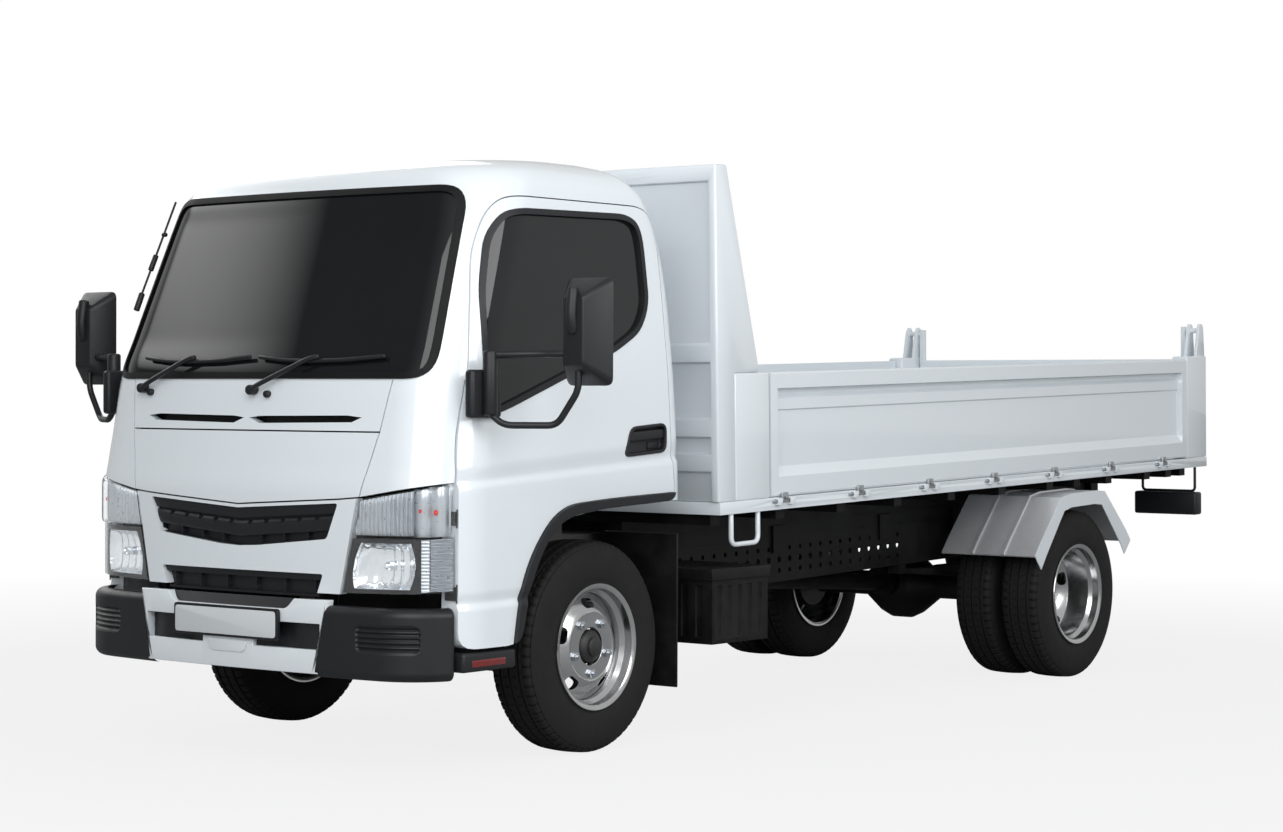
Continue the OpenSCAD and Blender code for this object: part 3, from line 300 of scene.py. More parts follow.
def bowed(front, half, rf, steps):
    """A bowed front from above, from the middle round its left corner, and the y where the side begins."""
    lean = math.atan((half - rf) / BOW_R)
    x1 = half - rf + rf * math.sin(lean)
    yc = front + x1 * x1 / (2 * BOW_R) + rf * math.cos(lean)
    ring = [(x1 * i / 14, front + (x1 * i / 14) ** 2 / (2 * BOW_R)) for i in range(14)]
    turn = np.linspace(lean, math.pi / 2, steps)
    return ring + [(half - rf + rf * math.sin(t), yc - rf * math.cos(t)) for t in turn], yc


def cab_ring(z, inset):
    """The cab form's outline from above at height z, set in by a distance."""
    front, half = cab_size(z, 1) + inset, cab_size(z, 2) * CAB_HALF - inset
    rear, rf, rr = cab_size(z, 3) - inset, CORNER_R - inset, max(REAR_R - inset, 0.015)
    ring, yc = bowed(front, half, rf, 24)
    ring += [(half, y) for y in np.linspace(yc, rear - rr, 40)[1:-1]]
    turn = np.linspace(0, math.pi / 2, 8)
    ring += [(half - rr + rr * math.cos(t), rear - rr + rr * math.sin(t)) for t in turn]
    ring += [(x, rear) for x in np.linspace(half - rr, 0, 12)[1:]]
    return np.array(ring + [(-x, y) for x, y in ring[-2:0:-1]])


def side_crease(y, z):
    """How far the pressed feature lines draw the doors and rear corners in, at a place on the side."""
    deep = 0.0
    for top, foot, rear_end in (
        (1.0486 + 0.078 * y, 0.9856 + 0.0574 * y, math.inf),
        (0.612 + 0.02 * y, 0.570 + 0.02 * y, 0.0),
    ):
        if y > rear_end:
            continue
        if foot < z < top:
            t = (top - z) / (top - foot)
            deep = CREASE_DEEP * t * t * (3 - 2 * t)
        elif foot - CREASE_RUN < z <= foot:
            deep = CREASE_DEEP * (z - foot + CREASE_RUN) / CREASE_RUN
    return deep


def cab_rings(inset):
    """Rings of points up the cab form, set in by a distance, with the roof's crown above them."""
    below, above = np.arange(0.4, 1.12, 0.008), np.arange(1.12, 1.9, 0.02)
    heights = np.concatenate([below, above, np.linspace(1.9, 2.022, 18)])
    rings = []
    for z in heights:
        ring = cab_ring(z, inset)
        sunk = inset * min(max((z - 1.93) / 0.09, 0.0), 1.0)
        rings.append(np.c_[ring, np.full(len(ring), z - sunk)])
    crown = rings[-1]
    middle = crown.mean(axis=0)
    for s in (0.9, 0.78, 0.64, 0.48, 0.32, 0.16, 0.04):
        ring = middle + (crown - middle) * s
        ring[:, 2] = crown[0, 2] + CROWN * (1 - s * s)
        rings.append(ring)
    return rings


def new_piece(name, points, faces):
    """A mesh object in the scene."""
    mesh = bpy.data.meshes.new(name)
    mesh.from_pydata(points, [], faces)
    piece = bpy.data.objects.new(name, mesh)
    scene.collection.objects.link(piece)
    return piece


def cab_sheet(name, inset, thick, keep):
    """The cab form where keep(x, y, z) holds, y from the front axle, with thickness inwards."""
    rings = cab_rings(inset)
    count, n = len(rings), len(rings[0])
    outer, inner = np.concatenate(rings), np.concatenate(cab_rings(inset + thick))
    faces = []
    for r in range(count - 1):
        for i in range(n):
            j = (i + 1) % n
            quad = [r * n + i, r * n + j, (r + 1) * n + j, (r + 1) * n + i]
            if keep(*outer[quad].mean(axis=0)):
                faces.append(quad)
    if keep(0, rings[-1][:, 1].mean(), rings[-1][0, 2]):
        faces.append([(count - 1) * n + i for i in range(n)])
    edges = {(a, b) for face in faces for a, b in zip(face, face[1:] + face[:1])}
    size = len(outer)
    rim = [[b, a, a + size, b + size] for a, b in edges if (b, a) not in edges]
    inside = [[v + size for v in reversed(face)] for face in faces]
    for p in outer:
        if abs(p[0]) > 0.8 and p[1] > -0.775 and p[2] < 1.12:
            p[0] -= math.copysign(side_crease(p[1], p[2]), p[0])
    piece = new_piece(name, np.concatenate([outer, inner]) + (0, AXLE_Y, 0), faces + inside + rim)
    clean(piece)
    return piece


def pick(piece):
    """Leaves this piece alone selected and active."""
    bpy.ops.object.select_all(action="DESELECT")
    piece.select_set(True)
    bpy.context.view_layer.objects.active = piece


def apply(piece):
    pick(piece)
    for modifier in list(piece.modifiers):
        bpy.ops.object.modifier_apply(modifier=modifier.name)


def clean(piece, gap=0.00002):
    """Merges doubled points and drops loose ones."""
    pick(piece)
    bpy.ops.object.mode_set(mode="EDIT")
    bpy.ops.mesh.select_all(action="SELECT")
    bpy.ops.mesh.remove_doubles(threshold=gap)
    bpy.ops.mesh.delete_loose()
    bpy.ops.object.mode_set(mode="OBJECT")


def face_out(piece):
    """Turns all faces of a closed piece outwards."""
    pick(piece)
    bpy.ops.object.mode_set(mode="EDIT")
    bpy.ops.mesh.select_all(action="SELECT")
    bpy.ops.mesh.normals_make_consistent(inside=False)
    bpy.ops.object.mode_set(mode="OBJECT")


def round_edges(piece, width, segments, angle=None):
    """Rounds a piece's edges, or with an angle only those that bend by more than it."""
    ease = piece.modifiers.new("ease", "BEVEL")
    ease.width, ease.segments = width, segments
    if angle:
        ease.limit_method, ease.angle_limit = "ANGLE", math.radians(angle)
    apply(piece)
    return piece


def span(side, near, far):
    """The x range between two distances out on the left (1) or right (-1) side, lower end first."""
    return sorted((side * near, side * far))


def corners_of(outline):
    """Each corner of an outline, between the one before it and the one after."""
    return zip(outline[-1:] + outline[:-1], outline, outline[1:] + outline[:1])


def rounded(outline, radius, steps=5):
    """An outline with its corners eased by short curves."""
    eased = []
    for before, corner, after in corners_of(outline):
        a, b, c = Vector(before), Vector(corner), Vector(after)
        start = b + (a - b).normalized() * min(radius, (a - b).length * 0.45)
        end = b + (c - b).normalized() * min(radius, (c - b).length * 0.45)
        for t in np.linspace(0, 1, steps):
            eased.append(tuple(start * (1 - t) ** 2 + b * 2 * t * (1 - t) + end * t * t))
    return eased


def grown(outline, by):
    """An outline moved out by a distance, or in where it is negative."""
    area = sum(a[0] * b[1] - b[0] * a[1] for a, b in zip(outline, outline[1:] + outline[:1]))
    moved = []
    for before, corner, after in corners_of(outline):
        d1 = (Vector(corner) - Vector(before)).normalized()
        d2 = (Vector(after) - Vector(corner)).normalized()
        n = Vector((d1[1] + d2[1], -d1[0] - d2[0])) * (1 if area > 0 else -1)
        n.normalize()
        lean = max(0.4, abs(n.dot(Vector((d1[1], -d1[0])))))
        moved.append(tuple(Vector(corner) + n * by / lean))
    return moved


def prism(outline, axis, low, high):
    """A solid with this outline: seen from the front (x, z) along y, or from the side (y, z) along x."""
    if axis == "y":
        near = [(a, low + AXLE_Y, b) for a, b in outline]
        far = [(a, high + AXLE_Y, b) for a, b in outline]
    else:
        near = [(low, a + AXLE_Y, b) for a, b in outline]
        far = [(high, a + AXLE_Y, b) for a, b in outline]
    n = len(outline)
    sides = [(i, (i + 1) % n, n + (i + 1) % n, n + i) for i in range(n)]
    ends = [tuple(range(n)), tuple(range(2 * n - 1, n - 1, -1))]
    solid = new_piece("prism", near + far, sides + ends)
    face_out(solid)
    return solid


def cut(piece, solid, operation="DIFFERENCE"):
    saw = piece.modifiers.new("saw", "BOOLEAN")
    saw.object, saw.operation, saw.solver = solid, operation, "EXACT"
    apply(piece)
    bpy.data.objects.remove(solid)


def dress(piece, material, body, slot, *nodes, angle=32):
    """Gives a finished piece its smooth edges, its finish and its place in the truck."""
    pick(piece)
    bpy.ops.object.shade_smooth_by_angle(angle=math.radians(angle))
    piece.data.materials.clear()
    piece.data.materials.append(material)
    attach(piece, body)
    if nodes:
        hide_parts(*nodes)


def mirrored(outline):
    return [(-x, z) for x, z in outline[::-1]]


# Cab shell: pressed-steel roof, pillars, back wall and door frames, spot-welded into one and painted white.
# The windscreen, rear window and doors leave its openings.
SCREEN = [
    (-0.696, 1.281), (0.696, 1.281), (0.730, 1.321), (0.674, 1.862), (0.632, 1.908),
    (-0.632, 1.908), (-0.674, 1.862), (-0.730, 1.321),
]
DOOR = [
    (-0.771, 0.408), (-0.768, 1.0), (-0.755, 1.1), (-0.672, 1.433), (-0.607, 1.689), (-0.545, 1.812),
    (-0.490, 1.866), (-0.430, 1.882), (0.240, 1.882), (0.300, 1.850), (0.322, 1.780), (0.340, 1.064),
    (0.360, 0.853), (-0.072, 0.835), (-0.261, 0.809), (-0.367, 0.731), (-0.450, 0.588), (-0.492, 0.408),
]
REAR_PANE = [(-0.42, 1.42), (0.42, 1.42), (0.42, 1.75), (-0.42, 1.75)]
SCREEN_SAW, REAR_SAW = ("y", -1.2, -0.36), ("y", 0.2, 0.6)
screen_hole = rounded(SCREEN, 0.05)
rear_hole = rounded(REAR_PANE, 0.05)
door_hole = rounded(DOOR, 0.06)
shell = cab_sheet("cab_body_shell", 0.0, 0.045, lambda x, y, z: z > 1.25 if y < -0.42 else z > 0.84)
cut(shell, prism([(-1, 0.3), (1, 0.3), (1, 1.271), (-1, 1.271)], "y", -1.2, -0.4))
cut(shell, prism([(-1, 0.3), (1, 0.3), (1, 0.857), (-1, 0.857)], "y", -1.2, 0.6))
for side in (1, -1):
    cut(shell, prism(door_hole, "x", *span(side, 0.69, 1.0)))
cut(shell, prism(screen_hole, *SCREEN_SAW))
cut(shell, prism(rear_hole, *REAR_SAW))
dress(shell, white_paint, "cab", "white_paint", "cab_shell")

# Cab seam shade: a black inner sheet behind the outer front panels, painted shade seen only as the dark of
# their seams.
# Pressed sheet, spot-welded to the shell.
seam_shade = cab_sheet("cab_front_seam_shade", 0.042, 0.004, lambda x, y, z: y < -0.63 and 0.99 < z < 1.275)
dress(seam_shade, chassis_black, "cab", "chassis_black")

# Front panel: the two pressed lids between windscreen and grille, with an air slot each side of the middle.
# Both hang on the bulkhead with a dark seam round them.
FRONT_SAW = ("y", -1.2, -0.5)
SEAM = [(0.603, 1.271), (0.575, 1.105), (0.523, 0.896)]
NOSE_VEE = [(0.445, 0.889), (0.0, 0.863), (-0.445, 0.889)]
SLOT = [(0.012, 1.146), (0.06, 1.128), (0.46, 1.134), (0.5, 1.15), (0.44, 1.156), (0.06, 1.152)]
front_lids = cab_sheet("front_lids", 0.0, 0.03, lambda x, y, z: y < -0.6 and 0.82 < z < 1.3)
cut(front_lids, prism(SEAM + NOSE_VEE + mirrored(SEAM), *FRONT_SAW), "INTERSECT")
for outline in (SLOT, mirrored(SLOT), [(-0.7, 1.101), (0.7, 1.101), (0.7, 1.106), (-0.7, 1.106)]):
    cut(front_lids, prism(outline, *FRONT_SAW))
dress(front_lids, white_paint, "cab", "white_paint", "front_panel")

# Corner panels: the pressed quarter panels round the front corners, from the front lids to the doors.
# Each is bolted on from behind and painted with the cab.
CORNER = [(0.608, 1.271), (0.9, 1.271), (0.9, 0.96), (0.86, 0.953), (0.528, 0.896), (0.580, 1.105)]
corners = cab_sheet(
    "cab_corner_panels", 0.0, 0.03, lambda x, y, z: y < -0.6 and abs(x) > 0.48 and 0.86 < z < 1.3,
)
both_corners = prism(CORNER, *FRONT_SAW)
cut(both_corners, prism(mirrored(CORNER), *FRONT_SAW), "UNION")
cut(corners, both_corners, "INTERSECT")
for side in (1, -1):
    cut(corners, prism(grown(door_hole, 0.004), "x", *span(side, 0.4, 1.0)))
dress(corners, white_paint, "cab", "white_paint", "corner_panels")

# Grille surround: the white moulding below the lids, with the two grille mouths.
# Moulded plastic, painted with the cab and clipped to its front.
NOSE = [
    (0.0, 0.858), (0.445, 0.884), (0.512, 0.890), (0.447, 0.580),
    (-0.447, 0.580), (-0.512, 0.890), (-0.445, 0.884),
]
UPPER_MOUTH = [
    (0.0, 0.848), (0.438, 0.873), (0.392, 0.756), (0.090, 0.726), (0.0, 0.722),
    (-0.090, 0.726), (-0.392, 0.756), (-0.438, 0.873),
]
LOWER_MOUTH = [(-0.378, 0.642), (0.378, 0.642), (0.350, 0.570), (-0.350, 0.570)]
surround = cab_sheet(
    "grille_surround", 0.0, 0.034, lambda x, y, z: y < -0.7 and abs(x) < 0.56 and 0.55 < z < 0.93,
)
cut(surround, prism(NOSE, *FRONT_SAW), "INTERSECT")
cut(surround, prism(rounded(UPPER_MOUTH, 0.012), *FRONT_SAW))
cut(surround, prism(rounded(LOWER_MOUTH, 0.012), *FRONT_SAW))
dress(surround, white_paint, "cab", "white_paint", "grille_panel")

# Windscreen and rear window: curved panes of safety glass, bonded into the shell.
# A moulded rubber seal frames the windscreen.
screen = cab_sheet("windscreen", 0.004, 0.006, lambda x, y, z: y < -0.3 and 1.2 < z < 1.95)
cut(screen, prism(grown(screen_hole, -0.004), *SCREEN_SAW), "INTERSECT")
rear_pane = cab_sheet(
    "rear_window", 0.006, 0.006, lambda x, y, z: y > 0.2 and abs(x) < 0.5 and 1.35 < z < 1.8,
)
cut(rear_pane, prism(grown(rear_hole, -0.002), *REAR_SAW), "INTERSECT")
pick(rear_pane)
screen.select_set(True)
bpy.context.view_layer.objects.active = screen
bpy.ops.object.join()
dress(screen, tinted_glass, "cab", "tinted_glass", "cab_glass")
seal_rubber, at = finish("seal_rubber", Specular_IOR_Level=0.2)
at.noise(6, 3).tint((0.003, 0.0032, 0.0036), (0.006, 0.0063, 0.007)).feed("Base Color")
(0.45 + at.noise(30, 3) * 0.15).feed("Roughness")
seal = cab_sheet("windscreen_seal", -0.005, 0.014, lambda x, y, z: y < -0.3 and 1.2 < z < 1.96)
cut(seal, prism(grown(screen_hole, 0.006), *SCREEN_SAW), "INTERSECT")
cut(seal, prism(grown(screen_hole, -0.016), *SCREEN_SAW))
dress(seal, seal_rubber, "cab", "black_plastic")

# Doors: pressed skins over a frame, with the feature line across and the handle cup let in.
# Each hangs on two pins at its front edge.
def eased(line, steps=6):
    """A smooth line through a few points."""
    p = np.array([line[0], *line, line[-1]])
    t = np.linspace(0, 1, steps, endpoint=False)[:, None]
    runs = [
        b + ((c - a) * t + (2 * a - 5 * b + 4 * c - d) * t ** 2 + (3 * b - a - 3 * c + d) * t ** 3) / 2
        for a, b, c, d in zip(p, p[1:], p[2:], p[3:])
    ]
    return [tuple(q) for q in np.vstack(runs + [p[-1:]])]


SIDES = ((1, "left"), (-1, "right"))
ARCH = eased([
    (-0.492, 0.408), (-0.450, 0.588), (-0.367, 0.731), (-0.261, 0.809), (-0.072, 0.835), (0.360, 0.853),
]) + eased([
    (0.380, 0.888), (-0.080, 0.871), (-0.272, 0.846), (-0.3945, 0.752), (-0.4845, 0.602), (-0.527, 0.400),
])
DOOR_PANE = [
    (-0.668, 1.150), (-0.612, 1.563), (-0.556, 1.742), (-0.490, 1.818), (-0.420, 1.836), (0.150, 1.846),
    (0.215, 1.822), (0.236, 1.760), (0.244, 1.540), (0.186, 1.446), (0.044, 1.377), (-0.300, 1.263),
    (-0.540, 1.183),
]
CUP = [(0.070, 1.015), (0.110, 1.112), (0.306, 1.125), (0.306, 1.030)]
pane_hole = rounded(DOOR_PANE, 0.05)
for side, label in SIDES:
    body, through = "door_" + label, ("x", *span(side, 0.705, 1.0))
    by_door = lambda x, y, z: side * x > 0.45 and -0.85 < y < 0.4 and z < 1.95
    by_pane = lambda x, y, z: side * x > 0.5 and -0.8 < y < 0.35 and z > 1.1
    door = cab_sheet(label + "_door_skin", 0.0, 0.06, by_door)
    cut(door, prism(grown(door_hole, -0.004), *through), "INTERSECT")
    cut(door, prism(ARCH, *through))
    cut(door, prism(pane_hole, *through))
    cut(door, prism(rounded(CUP, 0.025), "x", *span(side, 0.822, 1)))
    dress(door, white_paint, body, "white_paint", label + "_door")
    pane = cab_sheet(label + "_door_pane", 0.012, 0.005, by_pane)
    cut(pane, prism(grown(pane_hole, -0.003), *through), "INTERSECT")
    dress(pane, tinted_glass, body, "tinted_glass", label + "_door_glass")
    rubber = cab_sheet(label + "_door_seal", -0.002, 0.016, by_pane)
    cut(rubber, prism(grown(pane_hole, 0.004), *through), "INTERSECT")
    cut(rubber, prism(grown(pane_hole, -0.016), *through))
    dress(rubber, black_plastic, body, "black_plastic")

# Grille: one-piece black mouldings in the two mouths, with a brow, a vented bar and dark openings below it.
# They clip in behind the surround and have no badge.
def gone_along(ring):
    """How far along a line of points each one is."""
    return np.concatenate([[0.0], np.cumsum(np.hypot(*np.diff(ring, axis=0).T))])


def wrap_form(ring_at, low, high):
    """Looks up points and outward directions on a form: s along it from the middle, z up."""
    heights, ss, xs, ys = np.arange(low, high, 0.004), np.arange(0, 1.3, 0.002), [], []
    for z in heights:
        ring = np.array(ring_at(z))
        gone = gone_along(ring)
        xs.append(np.interp(ss, gone, ring[:, 0]))
        ys.append(np.interp(ss, gone, ring[:, 1]))
    xs, ys = np.array(xs), np.array(ys)
    table = (xs, ys, np.gradient(ys, ss, axis=1), -np.gradient(xs, ss, axis=1))

    def at(s, z):
        i = np.clip((z - low) / 0.004, 0, len(heights) - 1.001)
        j = np.clip(s / 0.002, 0, len(ss) - 1.001)
        i0, j0 = i.astype(int), j.astype(int)
        a, b = i - i0, j - j0
        mixed = [
            t[i0, j0] * (1 - a) * (1 - b) + t[i0 + 1, j0] * a * (1 - b) + t[i0, j0 + 1] * (1 - a) * b
            + t[i0 + 1, j0 + 1] * a * b for t in table
        ]
        size = np.hypot(mixed[2], mixed[3])
        return mixed[0], mixed[1], mixed[2] / size, mixed[3] / size

    return at


def patch(name, form, corners, us, vs, depth, thick=0.004, side=1, keep=None):
    """A moulding laid on a form between four (s, z) corners, foot first, set in by depth(s, z, u, v).
    With side 0 it runs across the middle, u from -1 to 1. Faces where keep(u, v) fails are left open."""
    u, v = np.meshgrid(us, vs)
    w = np.abs(u)
    (s0, z0), (s1, z1), (s2, z2), (s3, z3) = corners
    s = (s0 * (1 - w) + s1 * w) * (1 - v) + (s3 * (1 - w) + s2 * w) * v
    z = (z0 * (1 - w) + z1 * w) * (1 - v) + (z3 * (1 - w) + z2 * w) * v
    x, y, nx, ny = form(s, z)
    hand = np.where(u < 0, -1.0, 1.0) if side == 0 else side
    sunk = depth(s, z, u, v) + np.zeros_like(u)
    points = []
    wall = thick(s, z, u, v) if callable(thick) else thick
    for back in (0.0, wall):
        inward = sunk + back
        layer = np.stack([hand * (x - nx * inward), y - ny * inward + AXLE_Y, z], -1)
        points.append(layer.reshape(-1, 3))
    m, n = u.shape
    faces = [
        [r * n + i, r * n + i + 1, (r + 1) * n + i + 1, (r + 1) * n + i]
        for r in range(m - 1) for i in range(n - 1)
        if keep is None or keep((us[i] + us[i + 1]) / 2, (vs[r] + vs[r + 1]) / 2)
    ]
    edges = {(a, b) for face in faces for a, b in zip(face, face[1:] + face[:1])}
    rim = [[b, a, a + n * m, b + n * m] for a, b in edges if (b, a) not in edges]
    behind = [[k + n * m for k in reversed(face)] for face in faces]
    piece = new_piece(name, np.concatenate(points), faces + behind + rim)
    clean(piece)
    face_out(piece)
    return piece


def joined(name, pieces):
    """Several finished pieces as one object."""
    bpy.ops.object.select_all(action="DESELECT")
    for piece in pieces:
        piece.select_set(True)
    bpy.context.view_layer.objects.active = pieces[0]
    bpy.ops.object.join()
    pieces[0].name = name
    return pieces[0]


def half_ring(z):
    ring = cab_ring(z, 0.0)
    return ring[: len(ring) // 2 + 1]


on_cab = wrap_form(half_ring, 0.50, 1.0)


def stepped(*stops):
    """A profile through (place, depth) stops."""
    places, depths = zip(*stops)
    return lambda v: np.interp(v, places, depths)


brow = stepped(
    (0, 0.012), (0.04, 0.012), (0.05, 0.036), (0.25, 0.036), (0.26, 0.016), (0.32, 0.012), (0.45, 0.010),
    (0.58, 0.012), (0.64, 0.018), (0.65, 0.026), (0.69, 0.026), (0.70, 0.013), (0.95, 0.007), (1, 0.009),
)


def vented(s, z, u, v):
    sunk = brow(v)
    for k in range(4):
        bar = (np.abs(s - 0.088 - 0.104 * k) < 0.004) & (v < 0.26)
        sunk = np.where(bar, np.minimum(sunk, 0.020), sunk)
    for k in range(5):
        away = np.hypot(s - 0.045 - 0.074 * k, (v - 0.62) * 0.125)
        sunk = np.where(away < 0.0095, np.maximum(sunk, 0.026), sunk)
    return sunk


lips = stepped((0, 0.012), (0.10, 0.012), (0.12, 0.034), (0.66, 0.034), (0.68, 0.016), (1, 0.012))


def barred(s, z, u, v):
    sunk = lips(v)
    for k in (0.068, 0.20, 0.33):
        sunk = np.where(np.abs(s - k) < 0.004, np.minimum(sunk, 0.018), sunk)
    return sunk


def places(count, *more):
    """Even places from 0 to 1, and others among them."""
    return np.unique(np.concatenate([np.linspace(0, 1, count), more]))


fine = np.linspace(-1, 1, 281)
upper = patch(
    "grille_upper", on_cab, [(0, 0.717), (0.397, 0.752), (0.444, 0.878), (0, 0.853)], fine,
    places(41, 0.04, 0.05, 0.25, 0.26, 0.64, 0.65, 0.69, 0.70), vented, side=0,
)
lower = patch(
    "grille_lower", on_cab, [(0, 0.566), (0.352, 0.566), (0.382, 0.646), (0, 0.646)], fine,
    places(17, 0.10, 0.12, 0.66, 0.68), barred, side=0,
)
dress(joined("grille_moulding", [upper, lower]), black_plastic, "cab", "black_plastic", "grille", angle=40)

# Headlamps: a clear cover over a fluted upper reflector, a barrel-shaped main reflector in a dark frame,
# and a ribbed corner lamp under a boxy turn lamp. Moulded, plated and bolted to the cab's corner.
lamp_chrome, at = finish("lamp_chrome", Metallic=1.0)
at.noise(20, 3).tint((0.86, 0.88, 0.90), (0.70, 0.72, 0.74)).feed("Base Color")
(0.10 + at.noise(50, 3) * 0.08).feed("Roughness")
lamp_grey, at = finish("lamp_grey", Metallic=0.55, Coat_Weight=0.8)
at.noise(30, 3).tint((0.42, 0.45, 0.48), (0.54, 0.57, 0.60)).feed("Base Color")
(0.24 + at.noise(60, 3) * 0.1).feed("Roughness")
stop_red, at = finish("stop_red", Emission_Strength=0.25)
at.noise(60, 3).tint((0.75, 0.02, 0.015), (0.5, 0.01, 0.01)).feed("Base Color")
at.noise(60, 3).tint((0.9, 0.03, 0.02), (0.6, 0.01, 0.01)).feed("Emission Color")
(0.12 + at.noise(90) * 0.08).feed("Roughness")


def s_at(z, x=None, y=None):
    """How far round the cab form a place at height z is, from its x or its y."""
    ring = half_ring(z)
    gone = gone_along(ring)
    if y is None:
        return float(np.interp(x, ring[:38, 0], gone[:38]))
    return float(np.interp(y, ring[:70, 1], gone[:70]))


def inner(z, out=0.0):
    """The lamp's inner edge at height z, as (s, z)."""
    return s_at(z, x=0.523 - 0.214 * (0.891 - z)) + out, z


def level(depth):
    return lambda s, z, u, v: depth


def flutes(s, z, u, v):
    return 0.016 + 0.0042 * np.cos(2 * np.pi * s / 0.0165) + 0.004 * (np.abs(v - 0.5) * 2) ** 8


def lobes(s, z, u, v):
    bulge = np.abs(np.sin(np.pi * np.clip(u * 2.2, 0, 2)))
    return 0.020 - 0.016 * bulge + 0.006 * (np.abs(v - 0.5) * 2) ** 6


def boxy(s, z, u, v):
    edge = np.minimum(np.minimum(u, 1 - u) * 0.16, np.minimum(v, 1 - v) * 0.16)
    ease = np.clip(1 - edge / 0.016, 0, 1)
    return -0.012 + 0.014 * (1 - np.sqrt(1 - ease ** 2 + 1e-9))


def barrel(u, v):
    across, up = (u - 0.5) / 0.43, (v - 0.5) / 0.42
    return across / (1 - 0.14 * up ** 2), up


def bowl(s, z, u, v):
    across, up = barrel(u, v)
    inside = np.clip(1 - across ** 2, 0, 1) * np.clip(1 - up ** 4, 0, 1)
    return 0.012 + 0.046 * np.sqrt(inside) + 0.0016 * np.cos(across * 17) * (inside > 0.02)


def ribs(s, z, u, v):
    strong = np.clip((u - 0.24) / 0.06, 0.18, 1)
    return 0.009 + 0.0042 * strong * np.cos(2 * np.pi * z / 0.0110) + 0.006 * (np.abs(u - 0.27) < 0.012)


def lamp_part(name, corners, across, up, depth, thick=0.004, keep=None):
    """One moulding of the lamp on the side in hand, with so many points across and up."""
    grid = np.linspace(0, 1, across), np.linspace(0, 1, up)
    return patch(f"{label}_{name}", on_cab, corners, *grid, depth, thick, side, keep)


for side, label in SIDES:
    out = s_at(0.8, y=-0.776)
    split, lower_split = s_at(0.85, x=0.722), s_at(0.68, x=0.742)
    whole = [inner(0.584), (out, 0.594), (out, 0.946), inner(0.888)]
    dress(lamp_part("lamp_case", whole, 40, 30, level(0.062)), chassis_black, "cab", "chassis_black")
    fluted = [inner(0.772), (split, 0.774), (split, 0.918), inner(0.884)]
    lobed = [(split, 0.774), (out - 0.004, 0.776), (out - 0.004, 0.936), (split, 0.916)]
    both = [lamp_part("lamp_flutes", fluted, 150, 24, flutes), lamp_part("turn_lobes", lobed, 70, 20, lobes)]
    dress(joined(label + "_lamp_flutes", both), lamp_grey, "cab", "lamp_lens", angle=60)
    boxed = [(split, 0.770), (out, 0.772), (out, 0.944), (split, 0.922)]
    dress(lamp_part("turn_cover", boxed, 40, 40, boxy, 0.003), lamp_lens, "cab", "lamp_lens", angle=60)
    framed = [inner(0.586), (lower_split, 0.590), (lower_split, 0.764), inner(0.762)]
    frame_plate = lamp_part(
        "lamp_frame", framed, 120, 90, level(0.006), 0.006,
        keep=lambda u, v: max(np.abs(barrel(u, v))) > 1,
    )
    dress(frame_plate, black_plastic, "cab", "black_plastic")
    edge = lower_split - 0.003
    bowled = [inner(0.588, 0.003), (edge, 0.592), (edge, 0.762), inner(0.760, 0.003)]
    dress(lamp_part("lamp_bowl", bowled, 90, 60, bowl, 0.002), lamp_chrome, "cab", "lamp_lens", angle=60)
    ribbed = [(lower_split, 0.594), (out - 0.003, 0.600), (out - 0.003, 0.768), (lower_split, 0.762)]
    dress(lamp_part("lamp_ribs", ribbed, 60, 110, ribs, 0.003), lamp_grey, "cab", "lamp_lens", angle=60)
    low_lens = [inner(0.584), (out, 0.594), (out, 0.769), inner(0.766)]
    top_lens = [inner(0.769), (split, 0.771), (split, 0.921), inner(0.888)]
    both = [
        lamp_part("lamp_cover", low_lens, 40, 12, level(0.0), 0.003),
        lamp_part("lamp_top_cover", top_lens, 30, 12, level(0.0), 0.003),
    ]
    node = ["headlamps"] if side > 0 else []
    dress(joined(label + "_lamp_cover", both), lamp_lens, "cab", "lamp_lens", *node)
    for k, (s, z, size, long, sunk) in enumerate((
        (lower_split - 0.13, 0.676, 0.013, 2.0, 0.040), (split + 0.07, 0.850, 0.0075, 1.0, 0.004),
        (split + 0.02, 0.854, 0.005, 1.0, 0.004),
    )):
        x, y, nx, ny = (float(value[0]) for value in on_cab(np.array([s]), np.array([z])))
        bpy.ops.object.select_all(action="DESELECT")
        bpy.ops.mesh.primitive_uv_sphere_add(segments=20, ring_count=12, radius=size, location=(0, 0, 0))
        bulb = bpy.context.object
        bulb.name = f"{label}_lamp_bulb_{k}"
        bpy.ops.object.mode_set(mode="EDIT")
        bpy.ops.mesh.select_all(action="SELECT")
        bpy.ops.transform.resize(value=(1, long, 1.25))
        bpy.ops.transform.translate(value=(side * (x - nx * sunk), y - ny * sunk + AXLE_Y, z))
        bpy.ops.object.mode_set(mode="OBJECT")
        dress(bulb, stop_red if k else lamp_chrome, "cab", "lamp_lens", angle=60)

# Front bumper: a pressed white centre with two dark openings and a dip for the black valance above it.
# It is bolted to arms off the frame and carries a blank plate.
BUMPER_Y, BUMPER_HALF, BUMPER_R = -0.985, 0.828, 0.23


def softened(name, node, width, material, body, slot, segments=3, before=None, angle=32):
    """A solid's own shape with its sharp edges rounded, as pressed or moulded ones are."""
    piece = bpy.data.objects.new(name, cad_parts[node].data.copy())
    scene.collection.objects.link(piece)
    clean(piece, 0.00005)
    if before:
        before(piece)
    pick(piece)
    bpy.ops.object.mode_set(mode="EDIT")
    bpy.ops.mesh.select_all(action="SELECT")
    bpy.ops.mesh.dissolve_limited(angle_limit=math.radians(1))
    bpy.ops.object.mode_set(mode="OBJECT")
    round_edges(piece, width, segments, 38)
    dress(piece, material, body, slot, node, angle=angle)
    return piece


